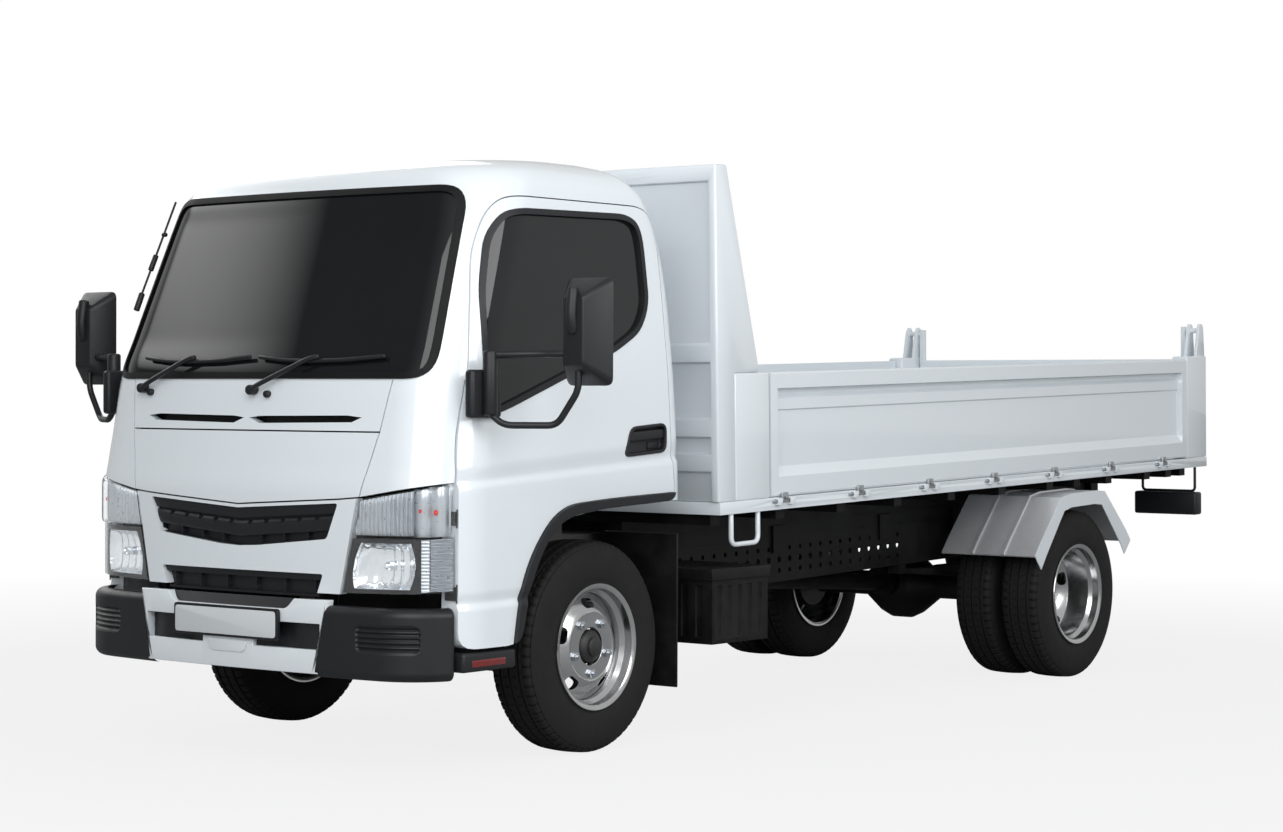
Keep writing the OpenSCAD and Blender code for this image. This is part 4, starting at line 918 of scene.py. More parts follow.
def bumper_ring(z):
    ring, yc = bowed(BUMPER_Y, BUMPER_HALF, BUMPER_R, 40)
    return ring + [(BUMPER_HALF, yc + d) for d in (0.1, 0.2, 0.4, 0.8)]


on_bumper = wrap_form(bumper_ring, 0.28, 0.62)
DIP = [(-0.335, 0.60), (0.335, 0.60), (0.262, 0.527), (-0.262, 0.527)]
softened(
    "bumper_centre", "front_bumper", 0.0035, white_paint, "chassis", "white_paint",
    before=lambda piece: cut(piece, prism(rounded(DIP, 0.02), "y", -1.2, -0.8)),
)
across = np.linspace(-1, 1, 61)
lining = patch(
    "bumper_lining", on_bumper, [(0, 0.372), (0.425, 0.372), (0.425, 0.508), (0, 0.508)],
    across, np.linspace(0, 1, 9), lambda s, z, u, v: 0.026 + 0.010 * np.cos(s * 30), 0.003, 0,
)
valance = patch(
    "bumper_valance", on_bumper, [(0, 0.516), (0.262, 0.516), (0.345, 0.5605), (0, 0.5605)],
    across, np.linspace(0, 1, 9), lambda s, z, u, v: 0.010 + 0.022 * v, 0.004, 0,
)
dress(joined("bumper_lining", [lining, valance]), black_plastic, "chassis", "black_plastic")
TAB = [(-0.098, 0.414), (0.098, 0.414), (0.078, 0.374), (-0.078, 0.374)]
tab = prism(rounded(TAB, 0.018), "y", BUMPER_Y - 0.0035, BUMPER_Y + 0.012)
round_edges(tab, 0.002, 2)
tab.name = "tow_eye_cover"
dress(tab, white_paint, "chassis", "white_paint")

# Number plate: a blank pale plate in a dark pressed holder, on two studs ahead of the bumper.
# Both are stamped from sheet, and the face is painted.
plate_face, at = finish("plate_face")
at.noise(5, 3).tint((0.56, 0.60, 0.62), (0.62, 0.655, 0.67)).feed("Base Color")
(0.34 + at.noise(20, 3) * 0.1).feed("Roughness")
for name, half, low, high, near, far, material, slot in (
    ("plate_holder", 0.243, 0.422, 0.525, -0.997, -0.983, black_plastic, "black_plastic"),
    ("plate_blank", 0.234, 0.430, 0.517, -1.000, -0.990, plate_face, "white_paint"),
):
    board = prism(rounded([(-half, low), (half, low), (half, high), (-half, high)], 0.012), "y", near, far)
    round_edges(board, 0.0015, 2)
    board.name = name
    dress(board, material, "chassis", slot)

# Bumper corners: moulded black plastic ends, rolled over at top and bottom, with a ribbed blank in each.
# They are bolted to the frame's arms beside the white centre.
def rolled(s, z, u, v):
    edge = np.minimum((z - 0.311), (0.545 - z))
    ease = np.clip(1 - edge / 0.030, 0, 1)
    sunk = 0.030 * (1 - np.sqrt(1 - ease ** 2 + 1e-9))
    ends = np.clip(1 - (1 - u) * 0.62 / 0.016, 0, 1)
    sunk = sunk + 0.014 * (1 - np.sqrt(1 - ends ** 2 + 1e-9))
    a, b = np.abs(s - 0.668) - 0.088, np.abs(z - 0.446) - 0.020
    away = np.hypot(np.maximum(a, 0), np.maximum(b, 0)) + np.minimum(np.maximum(a, b), 0)
    inside = np.clip((0.026 - away) / 0.005, 0, 1)
    return sunk - 0.003 + inside * (0.006 + 0.0032 * np.cos(2 * np.pi * (z - 0.446) / 0.0165))


ends = []
for side in (1, -1):
    ring = np.array(bumper_ring(0.4))
    rear_s = float(np.interp(-0.779, ring[:, 1], gone_along(ring)))
    ends.append(patch(
        f"bumper_end_{side}", on_bumper,
        [(0.3845, 0.311), (rear_s, 0.311), (rear_s, 0.545), (0.4325, 0.545)],
        np.linspace(0, 1, 150), np.linspace(0, 1, 110), rolled, 0.012, side,
    ))
dress(joined("bumper_ends", ends), black_plastic, "chassis", "black_plastic", "bumper_corners", angle=40)

# Door furniture: a black moulded cup with a pull bar in each door, and a dark flare over the arch.
# The cup snaps into the skin from outside.
PULL = [(0.085, 1.062), (0.100, 1.098), (0.298, 1.108), (0.298, 1.074)]
LOCK = [(0.222, 1.036), (0.222, 1.062), (0.286, 1.066), (0.286, 1.040)]
cup_line = rounded(CUP, 0.03)
for side, label in SIDES:
    body, through = "door_" + label, ("x", *span(side, 0.705, 1.0))
    cup = prism(grown(cup_line, 0.004), "x", *span(side, 0.815, 0.8475))
    cut(cup, prism(grown(cup_line, -0.007), "x", *span(side, 0.8245, 0.9)))
    pull = prism(rounded(PULL, 0.012), "x", *span(side, 0.823, 0.8425))
    lock = prism(rounded(LOCK, 0.008), "x", *span(side, 0.823, 0.830))
    for solid, width in ((cup, 0.003), (pull, 0.006), (lock, 0.003)):
        round_edges(solid, width, 3, 50)
    handle = joined(label + "_door_handle", [cup, pull, lock])
    dress(handle, black_plastic, body, "black_plastic", angle=40)
    flare = cab_sheet(
        label + "_arch_flare", -0.013, 0.040,
        lambda x, y, z: side * x > 0.45 and -0.62 < y < 0.45 and z < 1.0,
    )
    cut(flare, prism(grown(ARCH, -0.0015), *through), "INTERSECT")
    cut(flare, prism(grown(door_hole, -0.005), *through), "INTERSECT")
    round_edges(flare, 0.004, 2, 50)
    dress(flare, black_plastic, body, "black_plastic", label + "_door_trim", angle=40)

# Mirrors: moulded heads with a bevelled back and a dark glass, on bent tubes from a bracket on each door.
# The tubes are painted steel, pushed into the head from below.
def tube(name, path, radius, turns=16, ease=0.03):
    """A round bar bent along a path, its corners eased, with rounded ends."""
    points = [Vector(p) for p in path]
    line = [points[0]]
    for a, b, c in zip(points, points[1:], points[2:]):
        near = b + (a - b).normalized() * min(ease, (a - b).length * 0.45)
        far = b + (c - b).normalized() * min(ease, (c - b).length * 0.45)
        line += [near * (1 - t) ** 2 + b * 2 * t * (1 - t) + far * t * t for t in np.linspace(0, 1, 6)]
    line.append(points[-1])
    ways = [(line[min(i + 1, len(line) - 1)] - line[max(i - 1, 0)]).normalized() for i in range(len(line))]
    turn = ways[0].orthogonal().normalized()
    angles, verts = np.linspace(0, 2 * math.pi, turns, endpoint=False), []
    for p, way in zip(line, ways):
        turn = (turn - way * turn.dot(way)).normalized()
        other = way.cross(turn)
        verts += [p + (turn * math.cos(t) + other * math.sin(t)) * radius for t in angles]
    n = len(line)
    faces = [
        [r * turns + i, r * turns + (i + 1) % turns, (r + 1) * turns + (i + 1) % turns, (r + 1) * turns + i]
        for r in range(n - 1) for i in range(turns)
    ]
    faces += [list(range(turns))[::-1], [(n - 1) * turns + i for i in range(turns)]]
    return round_edges(new_piece(name, verts, faces), radius * 0.35, 2, 60)


def block(name, low, high, width, segments=3):
    """A box with eased edges, from one corner to the other, y from the front axle."""
    face = [(low[0], low[2]), (high[0], low[2]), (high[0], high[2]), (low[0], high[2])]
    piece = prism(face, "y", low[1], high[1])
    piece.name = name
    return round_edges(piece, width, segments)


def path(side, *points):
    """Points given for the left side, y from the front axle, as places on either side."""
    return [(side * x, y + AXLE_Y, z) for x, y, z in points]


mirror_glass, at = finish("mirror_glass", Metallic=1.0)
at.noise(6, 3).tint((0.62, 0.65, 0.68), (0.55, 0.58, 0.61)).feed("Base Color")
(0.02 + at.noise(20, 3) * 0.03).feed("Roughness")
for side, label in SIDES:
    (near, far), foot = span(side, 0.836, 0.872), (0.886, -0.690)
    base = block(label + "_mirror_base", (near, -0.760, 1.150), (far, -0.612, 1.305), 0.012)
    post = tube(label + "_mirror_post", path(side, (*foot, 1.158), (*foot, 1.366)), 0.024, 24)
    arm = tube(
        label + "_mirror_arm",
        path(side, (*foot, 1.352), (1.02, -0.600, 1.355), (1.152, -0.565, 1.355)), 0.012,
    )
    stay = tube(
        label + "_mirror_stay",
        path(
            side, (*foot, 1.165), (0.93, -0.675, 1.128), (1.075, -0.585, 1.128), (1.152, -0.572, 1.24),
            (1.152, -0.572, 1.44),
        ), 0.011,
    )
    back = [(1.062, 1.252), (1.252, 1.252), (1.252, 1.600), (1.062, 1.600)]
    back = [(side * x, z) for x, z in back][::side]
    hood = prism(rounded(back, 0.028), "y", -0.585, -0.518)
    pick(hood)
    bpy.ops.object.mode_set(mode="EDIT")
    bpy.ops.mesh.select_all(action="DESELECT")
    bpy.ops.object.mode_set(mode="OBJECT")
    for face in hood.data.polygons:
        face.select = face.normal.y < -0.9
    bpy.ops.object.mode_set(mode="EDIT")
    bpy.ops.transform.resize(value=(0.42, 1, 0.62), center_override=(side * 1.152, -0.585 + AXLE_Y, 1.43))
    bpy.ops.transform.translate(value=(0, -0.02, 0))
    bpy.ops.object.mode_set(mode="OBJECT")
    round_edges(hood, 0.006, 3, 35)
    grip = tube(
        label + "_mirror_grip",
        path(side, (1.152, -0.598, 1.42), (1.152, -0.612, 1.47), (1.150, -0.600, 1.565)), 0.019, 20,
    )
    head = joined(label + "_mirror_head", [hood, base, post, arm, stay, grip])
    dress(head, black_plastic, "door_" + label, "black_plastic", label + "_mirror", angle=45)
    face = prism(rounded(grown(back, -0.012), 0.02), "y", -0.520, -0.5155)
    face.name = label + "_mirror_glass"
    dress(face, mirror_glass, "door_" + label, "tinted_glass")

# Wipers: two pressed arms with long rubber blades, parked along the foot of the windscreen.
# Two washer nozzles stand by them, and a rod aerial at the right pillar.
def on_screen(x, z, out):
    """A place ahead of the windscreen by a distance."""
    px, py, nx, ny = (float(value[0]) for value in on_glass(np.array([abs(x)]), np.array([z])))
    return (x, py + ny * out + AXLE_Y, z)


on_glass = wrap_form(half_ring, 1.18, 1.96)
wiper_bits = []
for k, (px, pz, ex, ez) in enumerate(((-0.536, 1.243, -0.316, 1.341), (0.025, 1.238, 0.266, 1.342))):
    pivot = [on_screen(px, pz, -0.005), on_screen(px, pz, 0.034)]
    wiper_bits.append(tube(f"wiper_pivot_{k}", pivot, 0.017, 20))
    arm = [
        on_screen(px, pz, 0.026), on_screen(px + 0.05, pz + 0.022, 0.032), on_screen(ex, ez, 0.030),
        on_screen(ex + 0.035, ez + 0.006, 0.022),
    ]
    wiper_bits.append(tube(f"wiper_arm_{k}", arm, 0.0085, 12))
    blade = [
        on_screen(ex + along, 1.318 + 0.03 * lift, 0.014)
        for lift, along in ((1, -0.24), (0.6, -0.12), (0.5, 0), (0.6, 0.14), (1, 0.30))
    ]
    wiper_bits.append(tube(f"wiper_blade_{k}", blade, 0.0075, 10))
for x, z in ((-0.50, 1.229), (0.09, 1.224)):
    wiper_bits.append(tube(f"washer_{z}", [on_screen(x, z, -0.004), on_screen(x, z, 0.018)], 0.012, 16))
dress(joined("wiper_set", wiper_bits), black_plastic, "cab", "black_plastic", "wipers", angle=45)
aerial = [
    tube("aerial_" + name, path(1, *ends), radius, turns) for name, ends, radius, turns in (
        ("rod", ((-0.812, -0.651, 1.526), (-0.775, -0.494, 1.917)), 0.004, 10),
        ("foot", ((-0.812, -0.651, 1.520), (-0.806, -0.628, 1.584)), 0.011, 14),
        ("clip", ((-0.799, -0.595, 1.665), (-0.794, -0.572, 1.722)), 0.010, 14),
        ("bracket", ((-0.770, -0.545, 1.796), (-0.789, -0.545, 1.796)), 0.008, 12),
    )
]
dress(joined("aerial", aerial), black_plastic, "cab", "black_plastic", angle=45)

# Sills: black moulded steps below the doors, each with a dark red reflector.
# They are screwed to the cab's floor.
reflex_red, at = finish("reflex_red", Coat_Weight=0.6)
at.noise(60, 3).tint((0.20, 0.008, 0.007), (0.11, 0.005, 0.005)).feed("Base Color")
(0.2 + at.noise(90) * 0.1).feed("Roughness")
softened("entry_sills", "sills", 0.010, black_plastic, "cab", "black_plastic")
for side in (1, -1):
    near, far = span(side, 0.826, 0.8445)
    reflex = block(f"sill_reflector_{side}", (near, -0.726, 0.352), (far, -0.556, 0.378), 0.004)
    dress(reflex, reflex_red, "cab", "lamp_lens")

# Drop sides: folded steel panels with a boxed top rail, pressed band, recessed field and sloped foot rail.
# Each hangs on seven zinc straps with a bolt, turning on pins along the bed's edge.
RAKE, BED_HALF, GATE = math.radians(1.43), 0.82, (1.018, 4.472)


def raked(piece):
    """Tips a piece modelled level back by the frame's rake about the front axle's ground point."""
    lay = Matrix.Translation((0, AXLE_Y, 0))
    piece.data.transform(lay @ Matrix.Rotation(RAKE, 4, "X") @ lay.inverted())
    return piece


def on_side(s, z):
    flat = np.zeros_like(s)
    return flat + BED_HALF, s, flat + 1.0, flat


pressed = stepped(
    (0.826, 0.004), (0.831, 0), (0.896, 0), (0.934, 0.027), (1.140, 0.027), (1.146, 0.019), (1.186, 0.019),
    (1.200, 0.034), (1.219, 0.034), (1.225, 0), (1.279, 0), (1.283, 0.002), (1.285, 0.006),
)


def field(s, z, u, v):
    ends = np.clip((np.minimum(s - GATE[0], GATE[1] - s) - 0.045) / 0.006, 0, 1)
    return np.where((z > 0.832) & (z < 1.278), pressed(z) * ends, pressed(z))


zinc, at = finish("zinc", Metallic=0.9)
at.noise(60, 4).tint((0.55, 0.57, 0.58), (0.36, 0.37, 0.38)).feed("Base Color")
(0.3 + at.noise(40, 4) * 0.25).feed("Roughness")
BENDS = [0.831, 0.896, 0.934, 1.14, 1.146, 1.186, 1.2, 1.219, 1.225, 1.279, 1.283]
ups = (np.unique(np.concatenate([np.linspace(0.826, 1.285, 25), BENDS])) - 0.826) / 0.459
alongs = places(31, *(np.array([0.045, 0.051, 3.403, 3.409]) / 3.454))
STRAPS = 7
for side, label in SIDES:
    panel = patch(
        label + "_drop_side", on_side,
        [(GATE[0], 0.826), (GATE[1], 0.826), (GATE[1], 1.285), (GATE[0], 1.285)],
        alongs, ups, field, lambda s, z, u, v: 0.045 - field(s, z, u, v), side,
    )
    dress(raked(panel), white_paint, "side_" + label, "white_paint", label + "_gate", angle=25)
    straps, (near, far) = [], span(side, 0.8212, 0.832)
    for i in range(STRAPS):
        y = GATE[0] + 0.075 + (GATE[1] - GATE[0] - 0.330) * i / (STRAPS - 1)
        bolt = path(side, (0.831, y, 0.820), (0.840, y, 0.820))
        pin = path(side, (0.826, y - 0.075, 0.806), (0.826, y + 0.03, 0.806))
        straps.append(block(f"strap_{i}", (near, y - 0.020, 0.8055), (far, y + 0.020, 0.838), 0.003, 2))
        straps.append(tube(f"strap_bolt_{i}", bolt, 0.009, 6))
        straps.append(tube(f"strap_pin_{i}", pin, 0.0055, 12))
    dress(raked(joined(label + "_side_straps", straps)), zinc, "side_" + label, "wheel_steel", angle=40)

# Bed posts: boxed corner posts; a pair of tapered lugs on each rear one carries the tailgate's top pin.
# Folded sheet, welded to the floor's edge and painted with it.
LUG = [(4.596, 1.292), (4.688, 1.292), (4.676, 1.430), (4.664, 1.452), (4.638, 1.452), (4.628, 1.430)]
posts, arms = [], []
for side in (1, -1):
    near, far = span(side, 0.741, 0.82)
    posts.append(block("front_post", (near, 0.790, 0.8205), (far, 1.010, 1.285), 0.007))
    posts.append(block("rear_post", (near, 4.480, 0.8205), (far, 4.685, 1.300), 0.007))
    for inside in (0.744, 0.796):
        plate = prism(rounded(LUG, 0.012), "x", *span(side, inside, inside + 0.014))
        posts.append(round_edges(plate, 0.002, 2, 50))
    bend = path(
        side, (0.724, 4.652, 1.420), (0.780, 4.652, 1.420), (0.782, 4.702, 1.412), (0.782, 4.712, 1.235),
    )
    arms.append(tube("tail_arm", bend, 0.010, 14))
dress(raked(joined("bed_corner_posts", posts)), white_paint, "bed", "white_paint", "bed_posts", angle=35)
dress(raked(joined("tailgate_arms", arms)), white_paint, "tail", "white_paint", angle=45)
softened("tail_board", "tailgate", 0.005, white_paint, "tail", "white_paint", 2)

# Headboard and deck: ribbed front wall with gussets, and the floor with its edge rails.
# Folded from sheet, welded and painted white.
softened("bed_headboard", "headboard", 0.006, white_paint, "bed", "white_paint", 2)
softened("bed_deck", "bed_floor", 0.004, white_paint, "bed", "white_paint", 2)

# Step loops: bent white bars hung from the deck's edge by the front posts.
# Round steel, bent cold and welded on.
LOOP = [(0.775, 0.779), (0.775, 0.662), (0.945, 0.662), (0.945, 0.779)]
loops = [
    tube("step_loop", path(side, *((0.806, y, z) for y, z in LOOP)), 0.0095, 14) for side in (1, -1)
]
dress(raked(joined("step_bars", loops)), white_paint, "bed", "white_paint", "step_loops", angle=45)

# Rear lamps: black moulded boxes on bent rods below the bed's tail, with red lenses facing back.
# Each box hangs on its rod, and the lens is screwed on.
boxes, lenses = [], []
for side in (1, -1):
    (near, far), (lens_near, lens_far) = span(side, 0.50, 0.82), span(side, 0.515, 0.805)
    rod = path(side, (0.53, 4.598, 0.800), (0.53, 4.598, 0.660), (0.80, 4.598, 0.660), (0.80, 4.598, 0.775))
    boxes.append(block("tail_lamp_box", (near, 4.565, 0.548), (far, 4.632, 0.655), 0.010))
    boxes.append(tube("tail_lamp_rod", rod, 0.0065, 12, 0.02))
    lenses.append(block("tail_lens", (lens_near, 4.628, 0.560), (lens_far, 4.639, 0.643), 0.004))
dress(raked(joined("tail_lamp_boxes", boxes)), black_plastic, "bed", "black_plastic", "rear_lamps", angle=40)
dress(raked(joined("tail_lamp_lenses", lenses)), stop_red, "bed", "lamp_lens", angle=40)

# Rear mudguards: folded silver sheet over each pair of wheels, with two raised ribs and an outer flange.
# A bar from the frame carries each one from inside.
GUARD = [
    (-0.426, 0.547), (-0.380, 0.600), (-0.197, 0.789), (-0.120, 0.803), (0.120, 0.811), (0.196, 0.806),
    (0.400, 0.628), (0.444, 0.580),
]
WHEELBASE = 3.27
guards, flanges = [], []


def guard_strip(low, high, near, far):
    """The guard's line between two heights off it, as a solid from one side to the other."""
    line = [(WHEELBASE + y * (1 + high / 0.46), z + high) for y, z in GUARD]
    line += [(WHEELBASE + y * (1 + low / 0.46), z + low) for y, z in GUARD[::-1]]
    return prism(line[::-1], "x", near, far)


for side in (1, -1):
    guards.append(guard_strip(-0.005, 0.0, *span(side, 0.447, 0.900)))
    for x in (0.595, 0.745):
        guards.append(guard_strip(-0.002, 0.006, *span(side, x, x + 0.009)))
    flanges.append(guard_strip(-0.058, 0.001, *span(side, 0.8995, 0.9035)))
    bar = path(side, (0.352, WHEELBASE, 0.770), (0.62, WHEELBASE, 0.798))
    guards.append(tube("guard_bar", bar, 0.015, 16))
dress(joined("rear_guards", guards), guard_steel, "chassis", "guard_steel", "rear_mudguards", angle=35)
dress(joined("rear_guard_flanges", flanges), white_paint, "chassis", "guard_steel", angle=35)

# Chassis covers: a moulded battery box and flaps, with eased edges.
# They are bolted to the frame.
softened("battery_cover", "battery_box", 0.006, chassis_black, "chassis", "black_plastic")
softened("front_flaps", "front_mudguards", 0.004, chassis_black, "chassis", "black_plastic")

# Tyres: radial road tyres with a ribbed tread, open shoulder slots and plain sidewalls, tight on their rims.
# The rear pairs stand side by side with a gap between them.
AXLE_Z, TYRE_R, TYRE_W = 0.3645, 0.3645, 0.195


def lathed(name, profile, place, side, turns=120, press=None):
    """A piece turned about a wheel's axle from a profile of (radius, out from the inner face).
    turns is a count or a list of angles, and press(r, u, k) is how far a point is sunk."""
    points, n = [], len(profile)
    angles = turns
    if isinstance(turns, int):
        angles = np.linspace(0, 2 * math.pi, turns, endpoint=False)
    for k, a in enumerate(angles):
        for r, u in profile:
            r = r - (press(r, u, k) if press else 0.0)
            points.append((side * (place[0] + u), place[1] + r * math.sin(a), place[2] + r * math.cos(a)))
    m = len(angles)
    faces = [
        [k * n + i, k * n + (i + 1) % n, (k + 1) % m * n + (i + 1) % n, (k + 1) % m * n + i]
        for k in range(m) for i in range(n)
    ]
    piece = new_piece(name, points, faces)
    clean(piece)
    face_out(piece)
    return piece


WALL = [
    (0.207, 0.013), (0.211, 0.0095), (0.218, 0.0075), (0.224, 0.0085), (0.230, 0.006), (0.242, 0.0028),
    (0.260, 0.0005), (0.280, 0.0), (0.300, 0.0008), (0.318, 0.0032), (0.333, 0.0075), (0.345, 0.013),
    (0.346, 0.016), (0.352, 0.0185), (0.3575, 0.023), (0.3605, 0.029),
]
GROOVES = (0.0585, 0.0975, 0.1365)
tread = []
for u in np.linspace(0.033, TYRE_W - 0.033, 61):
    sunk = 0.008 if min(abs(u - g) for g in GROOVES) < 0.0042 else 0.0
    tread.append((TYRE_R - 0.003 * ((u - 0.0975) / 0.0645) ** 2 - sunk, u))
tyre_profile = WALL + tread + [(r, TYRE_W - u) for r, u in WALL[::-1]]
PITCHES = 64
SHARES = (0.0, 0.06, 0.62, 0.68)
tread_angles = np.array([(p + f) * 2 * math.pi / PITCHES for p in range(PITCHES) for f in SHARES])


def slots(r, u, k):
    """Shoulder slots and narrow rib cuts, one of each in every pitch of the tread."""
    edge = min(u, TYRE_W - u)
    if r < 0.3455 or k % 4 != 3:
        return 0.0
    if edge < 0.046:
        return 0.0065
    return 0.0035 if 0.066 < edge < 0.090 else 0.0


FRONT_X, REAR_X, PITCH_X = 0.591, 0.461, 0.225
REAR_STARTS = (REAR_X, REAR_X + PITCH_X)
for end, bodies, node, y, starts in (
    ("front", "wheel_front_", "tyre", 0.0, (FRONT_X,)),
    ("rear", "wheels_rear_", "tyres", WHEELBASE, REAR_STARTS),
):
    for side, label in SIDES:
        for k, x in enumerate(starts):
            place = (x, y + AXLE_Y, AXLE_Z)
            tyre = lathed(f"{end}_{label}_tyre_{k}", tyre_profile, place, side, tread_angles, slots)
            stands_for = [f"{end}_{label}_{node}"] if k == 0 else []
            dress(tyre, tyre_rubber, bodies + label, "tyre_rubber", *stands_for, angle=28)

# Rims: polished pressed-steel wheels, front ones domed with five oval holes, rear ones deep-dished in pairs.
# Five nuts hold each to its hub, and a dark cap closes the front hub.
hub_black, at = finish("hub_black")
at.noise(18, 4).tint((0.010, 0.010, 0.011), (0.03, 0.03, 0.031)).feed("Base Color")
(0.38 + at.noise(40, 3) * 0.2).feed("Roughness")
nut_zinc, at = finish("nut_zinc", Metallic=1.0)
at.noise(120, 3).tint((0.60, 0.64, 0.68), (0.44, 0.47, 0.50)).feed("Base Color")
(0.2 + at.noise(90, 3) * 0.15).feed("Roughness")
BARREL = [
    (0.2165, 0.195), (0.218, 0.1915), (0.217, 0.189), (0.208, 0.186), (0.2055, 0.183), (0.205, 0.159),
    (0.195, 0.148), (0.1915, 0.145), (0.1915, 0.050), (0.205, 0.037), (0.2055, 0.012), (0.208, 0.009),
    (0.218, 0.005), (0.2165, 0.0005), (0.212, 0.0005), (0.200, 0.006), (0.1985, 0.036), (0.185, 0.049),
    (0.185, 0.145), (0.1985, 0.159), (0.200, 0.188), (0.208, 0.1945),
]
FRONT_FACE = [
    (0.185, 0.118), (0.184, 0.1255), (0.179, 0.129), (0.172, 0.133), (0.160, 0.1415), (0.145, 0.153),
    (0.132, 0.1615), (0.123, 0.166), (0.119, 0.1672), (0.1165, 0.1652), (0.112, 0.165), (0.066, 0.165),
    (0.064, 0.163), (0.064, 0.148), (0.100, 0.148), (0.112, 0.149), (0.130, 0.140), (0.156, 0.123),
    (0.174, 0.111),
]
REAR_FACE = [
    (0.185, 0.062), (0.178, 0.056), (0.160, 0.044), (0.148, 0.030), (0.140, 0.015), (0.132, 0.0125),
    (0.090, 0.0125), (0.088, 0.000), (0.138, 0.000), (0.156, 0.024), (0.170, 0.044), (0.184, 0.054),
]
OVAL = [
    (0.017 * math.cos(a), 0.013 * (1 if math.sin(a) > 0 else -1) + 0.017 * math.sin(a))
    for a in np.arange(0, 6.28, 0.3927)
]
FRONT_CAP = [
    (0.0, 0.190), (0.030, 0.189), (0.034, 0.186), (0.0345, 0.176), (0.050, 0.170), (0.056, 0.164),
    (0.058, 0.150), (0.0, 0.148),
]
REAR_HUB = [
    (0.0, 0.270), (0.060, 0.270), (0.068, 0.266), (0.086, 0.236), (0.089, 0.222), (0.089, 0.200),
    (0.120, 0.200), (0.120, 0.032), (0.0, 0.032),
]
NUTS = 5


def hand_holes(piece, place, side, radius, low, high):
    """Cuts the five oval holes through a wheel's face."""
    for i in range(5):
        a = 2 * math.pi * i / 5
        outline = []
        for dr, t in OVAL:
            r = radius + dr
            up, along = r * math.cos(a) - t * math.sin(a), r * math.sin(a) + t * math.cos(a)
            outline.append((place[1] - AXLE_Y + along, place[2] + up))
        cut(piece, prism(outline, "x", *span(side, place[0] + low, place[0] + high)))


def nut(name, x, y, z, side, body):
    """A chamfered hexagon nut with its stud end, pointing out along the axle."""
    bpy.ops.object.select_all(action="DESELECT")
    bpy.ops.mesh.primitive_cylinder_add(vertices=6, radius=0.0165, depth=0.022, location=(0, 0, 0.011))
    made = bpy.context.object
    made.name = name
    bpy.ops.object.mode_set(mode="EDIT")
    bpy.ops.mesh.select_all(action="SELECT")
    bpy.ops.mesh.bevel(offset=0.0022, segments=2)
    bpy.ops.mesh.select_all(action="DESELECT")
    bpy.ops.object.mode_set(mode="OBJECT")
    top = max(made.data.polygons, key=lambda f: f.center.z)
    top.select = True
    bpy.ops.object.mode_set(mode="EDIT")
    bpy.ops.mesh.inset(thickness=0.006)
    bpy.ops.mesh.extrude_region_move(TRANSFORM_OT_translate={"value": (0, 0, 0.008)})
    bpy.ops.object.mode_set(mode="OBJECT")
    made.matrix_world = Matrix.Translation((x, y, z)) @ Matrix.Rotation(side * math.pi / 2, 4, "Y")
    bpy.ops.object.transform_apply(location=True, rotation=True, scale=True)
    dress(made, nut_zinc, body, "wheel_steel")


def nut_ring(name, x, y, radius, side, body):
    """The nuts round a hub, in a circle about its axle."""
    for i in range(NUTS):
        a = 2 * math.pi * (i + 0.5) / NUTS
        nut(f"{name}_{i}", side * x, y + radius * math.sin(a), AXLE_Z + radius * math.cos(a), side, body)


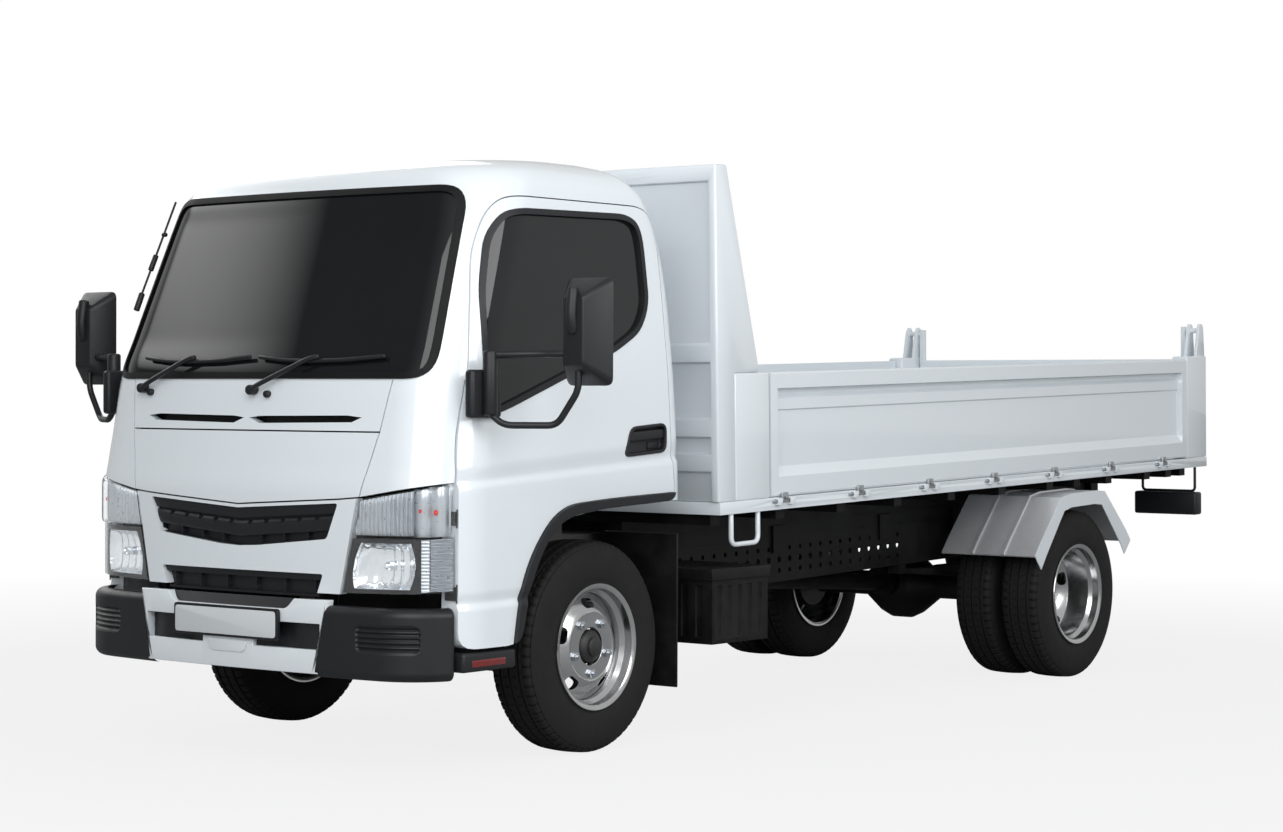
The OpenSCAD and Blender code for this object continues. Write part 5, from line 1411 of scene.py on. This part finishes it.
middle = (PITCH_X + TYRE_W) / 2
for side, label in SIDES:
    place, body = (FRONT_X, AXLE_Y, AXLE_Z), "wheel_front_" + label
    rim = lathed(f"front_{label}_wheel_barrel", BARREL, place, side)
    dress(rim, wheel_steel, body, "wheel_steel", f"front_{label}_rim", angle=40)
    face = lathed(f"front_{label}_wheel_face", FRONT_FACE, place, side)
    hand_holes(face, place, side, 0.148, 0.05, 0.25)
    dress(face, wheel_steel, body, "wheel_steel", angle=40)
    cap = lathed(f"front_{label}_hub_cap", FRONT_CAP, place, side, 40)
    dress(cap, hub_black, body, "chassis_black", angle=40)
    nut_ring(f"front_{label}_nut", FRONT_X + 0.165, AXLE_Y, 0.092, side, body)
    place, body = (REAR_X, AXLE_Y + WHEELBASE, AXLE_Z), "wheels_rear_" + label
    for k, start in enumerate(REAR_STARTS):
        rim = lathed(f"rear_{label}_wheel_barrel_{k}", BARREL, (start, *place[1:]), side)
        dress(rim, wheel_steel, body, "wheel_steel", *([f"rear_{label}_rims"] if k == 0 else []), angle=40)
    for k, way in enumerate((-1, 1)):
        profile = [(r, middle + way * u) for r, u in REAR_FACE]
        face = lathed(f"rear_{label}_wheel_face_{k}", profile, place, side)
        hand_holes(face, place, side, 0.163, middle + min(0, way * 0.09), middle + max(0, way * 0.09))
        dress(face, wheel_steel, body, "wheel_steel", angle=40)
    hub = lathed(f"rear_{label}_hub", REAR_HUB, place, side, 48)
    dress(hub, hub_black, body, "chassis_black", angle=40)
    nut_ring(f"rear_{label}_nut", REAR_X + middle + 0.0125, AXLE_Y + WHEELBASE, 0.108, side, body)

# Finishes of the solids: every one gets a finish, also those that a piece above stands for.
# It is set on the solid's own mesh.
FINISHES = {
    white_paint: "front_bumper cab_shell front_panel corner_panels grille_panel left_door right_door "
    "bed_floor bed_posts headboard step_loops left_gate right_gate tailgate",
    chassis_black: "frame_rails cross_members subframe drive_shaft front_axle rear_axle leaf_springs "
    "fuel_tank left_knuckle right_knuckle bed_sills hoist_barrel",
    black_plastic: "battery_box bumper_corners front_mudguards grille wipers sills left_door_trim "
    "right_door_trim left_mirror right_mirror rear_lamps steering_wheel steering_column",
    engine_iron: "engine",
    silencer_steel: "exhaust",
    guard_steel: "rear_mudguards",
    cabin_trim: "cab_floor dashboard",
    seat_cloth: "seats",
    tinted_glass: "cab_glass left_door_glass right_door_glass",
    lamp_lens: "headlamps",
    wheel_steel: "front_left_rim front_right_rim rear_left_rims rear_right_rims",
    tyre_rubber: "front_left_tyre front_right_tyre rear_left_tyres rear_right_tyres",
    hoist_steel: "hoist_sleeve hoist_rod",
}
for material, names in FINISHES.items():
    for name in names.split():
        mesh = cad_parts[name].data
        mesh.materials.clear()
        mesh.materials.append(material)
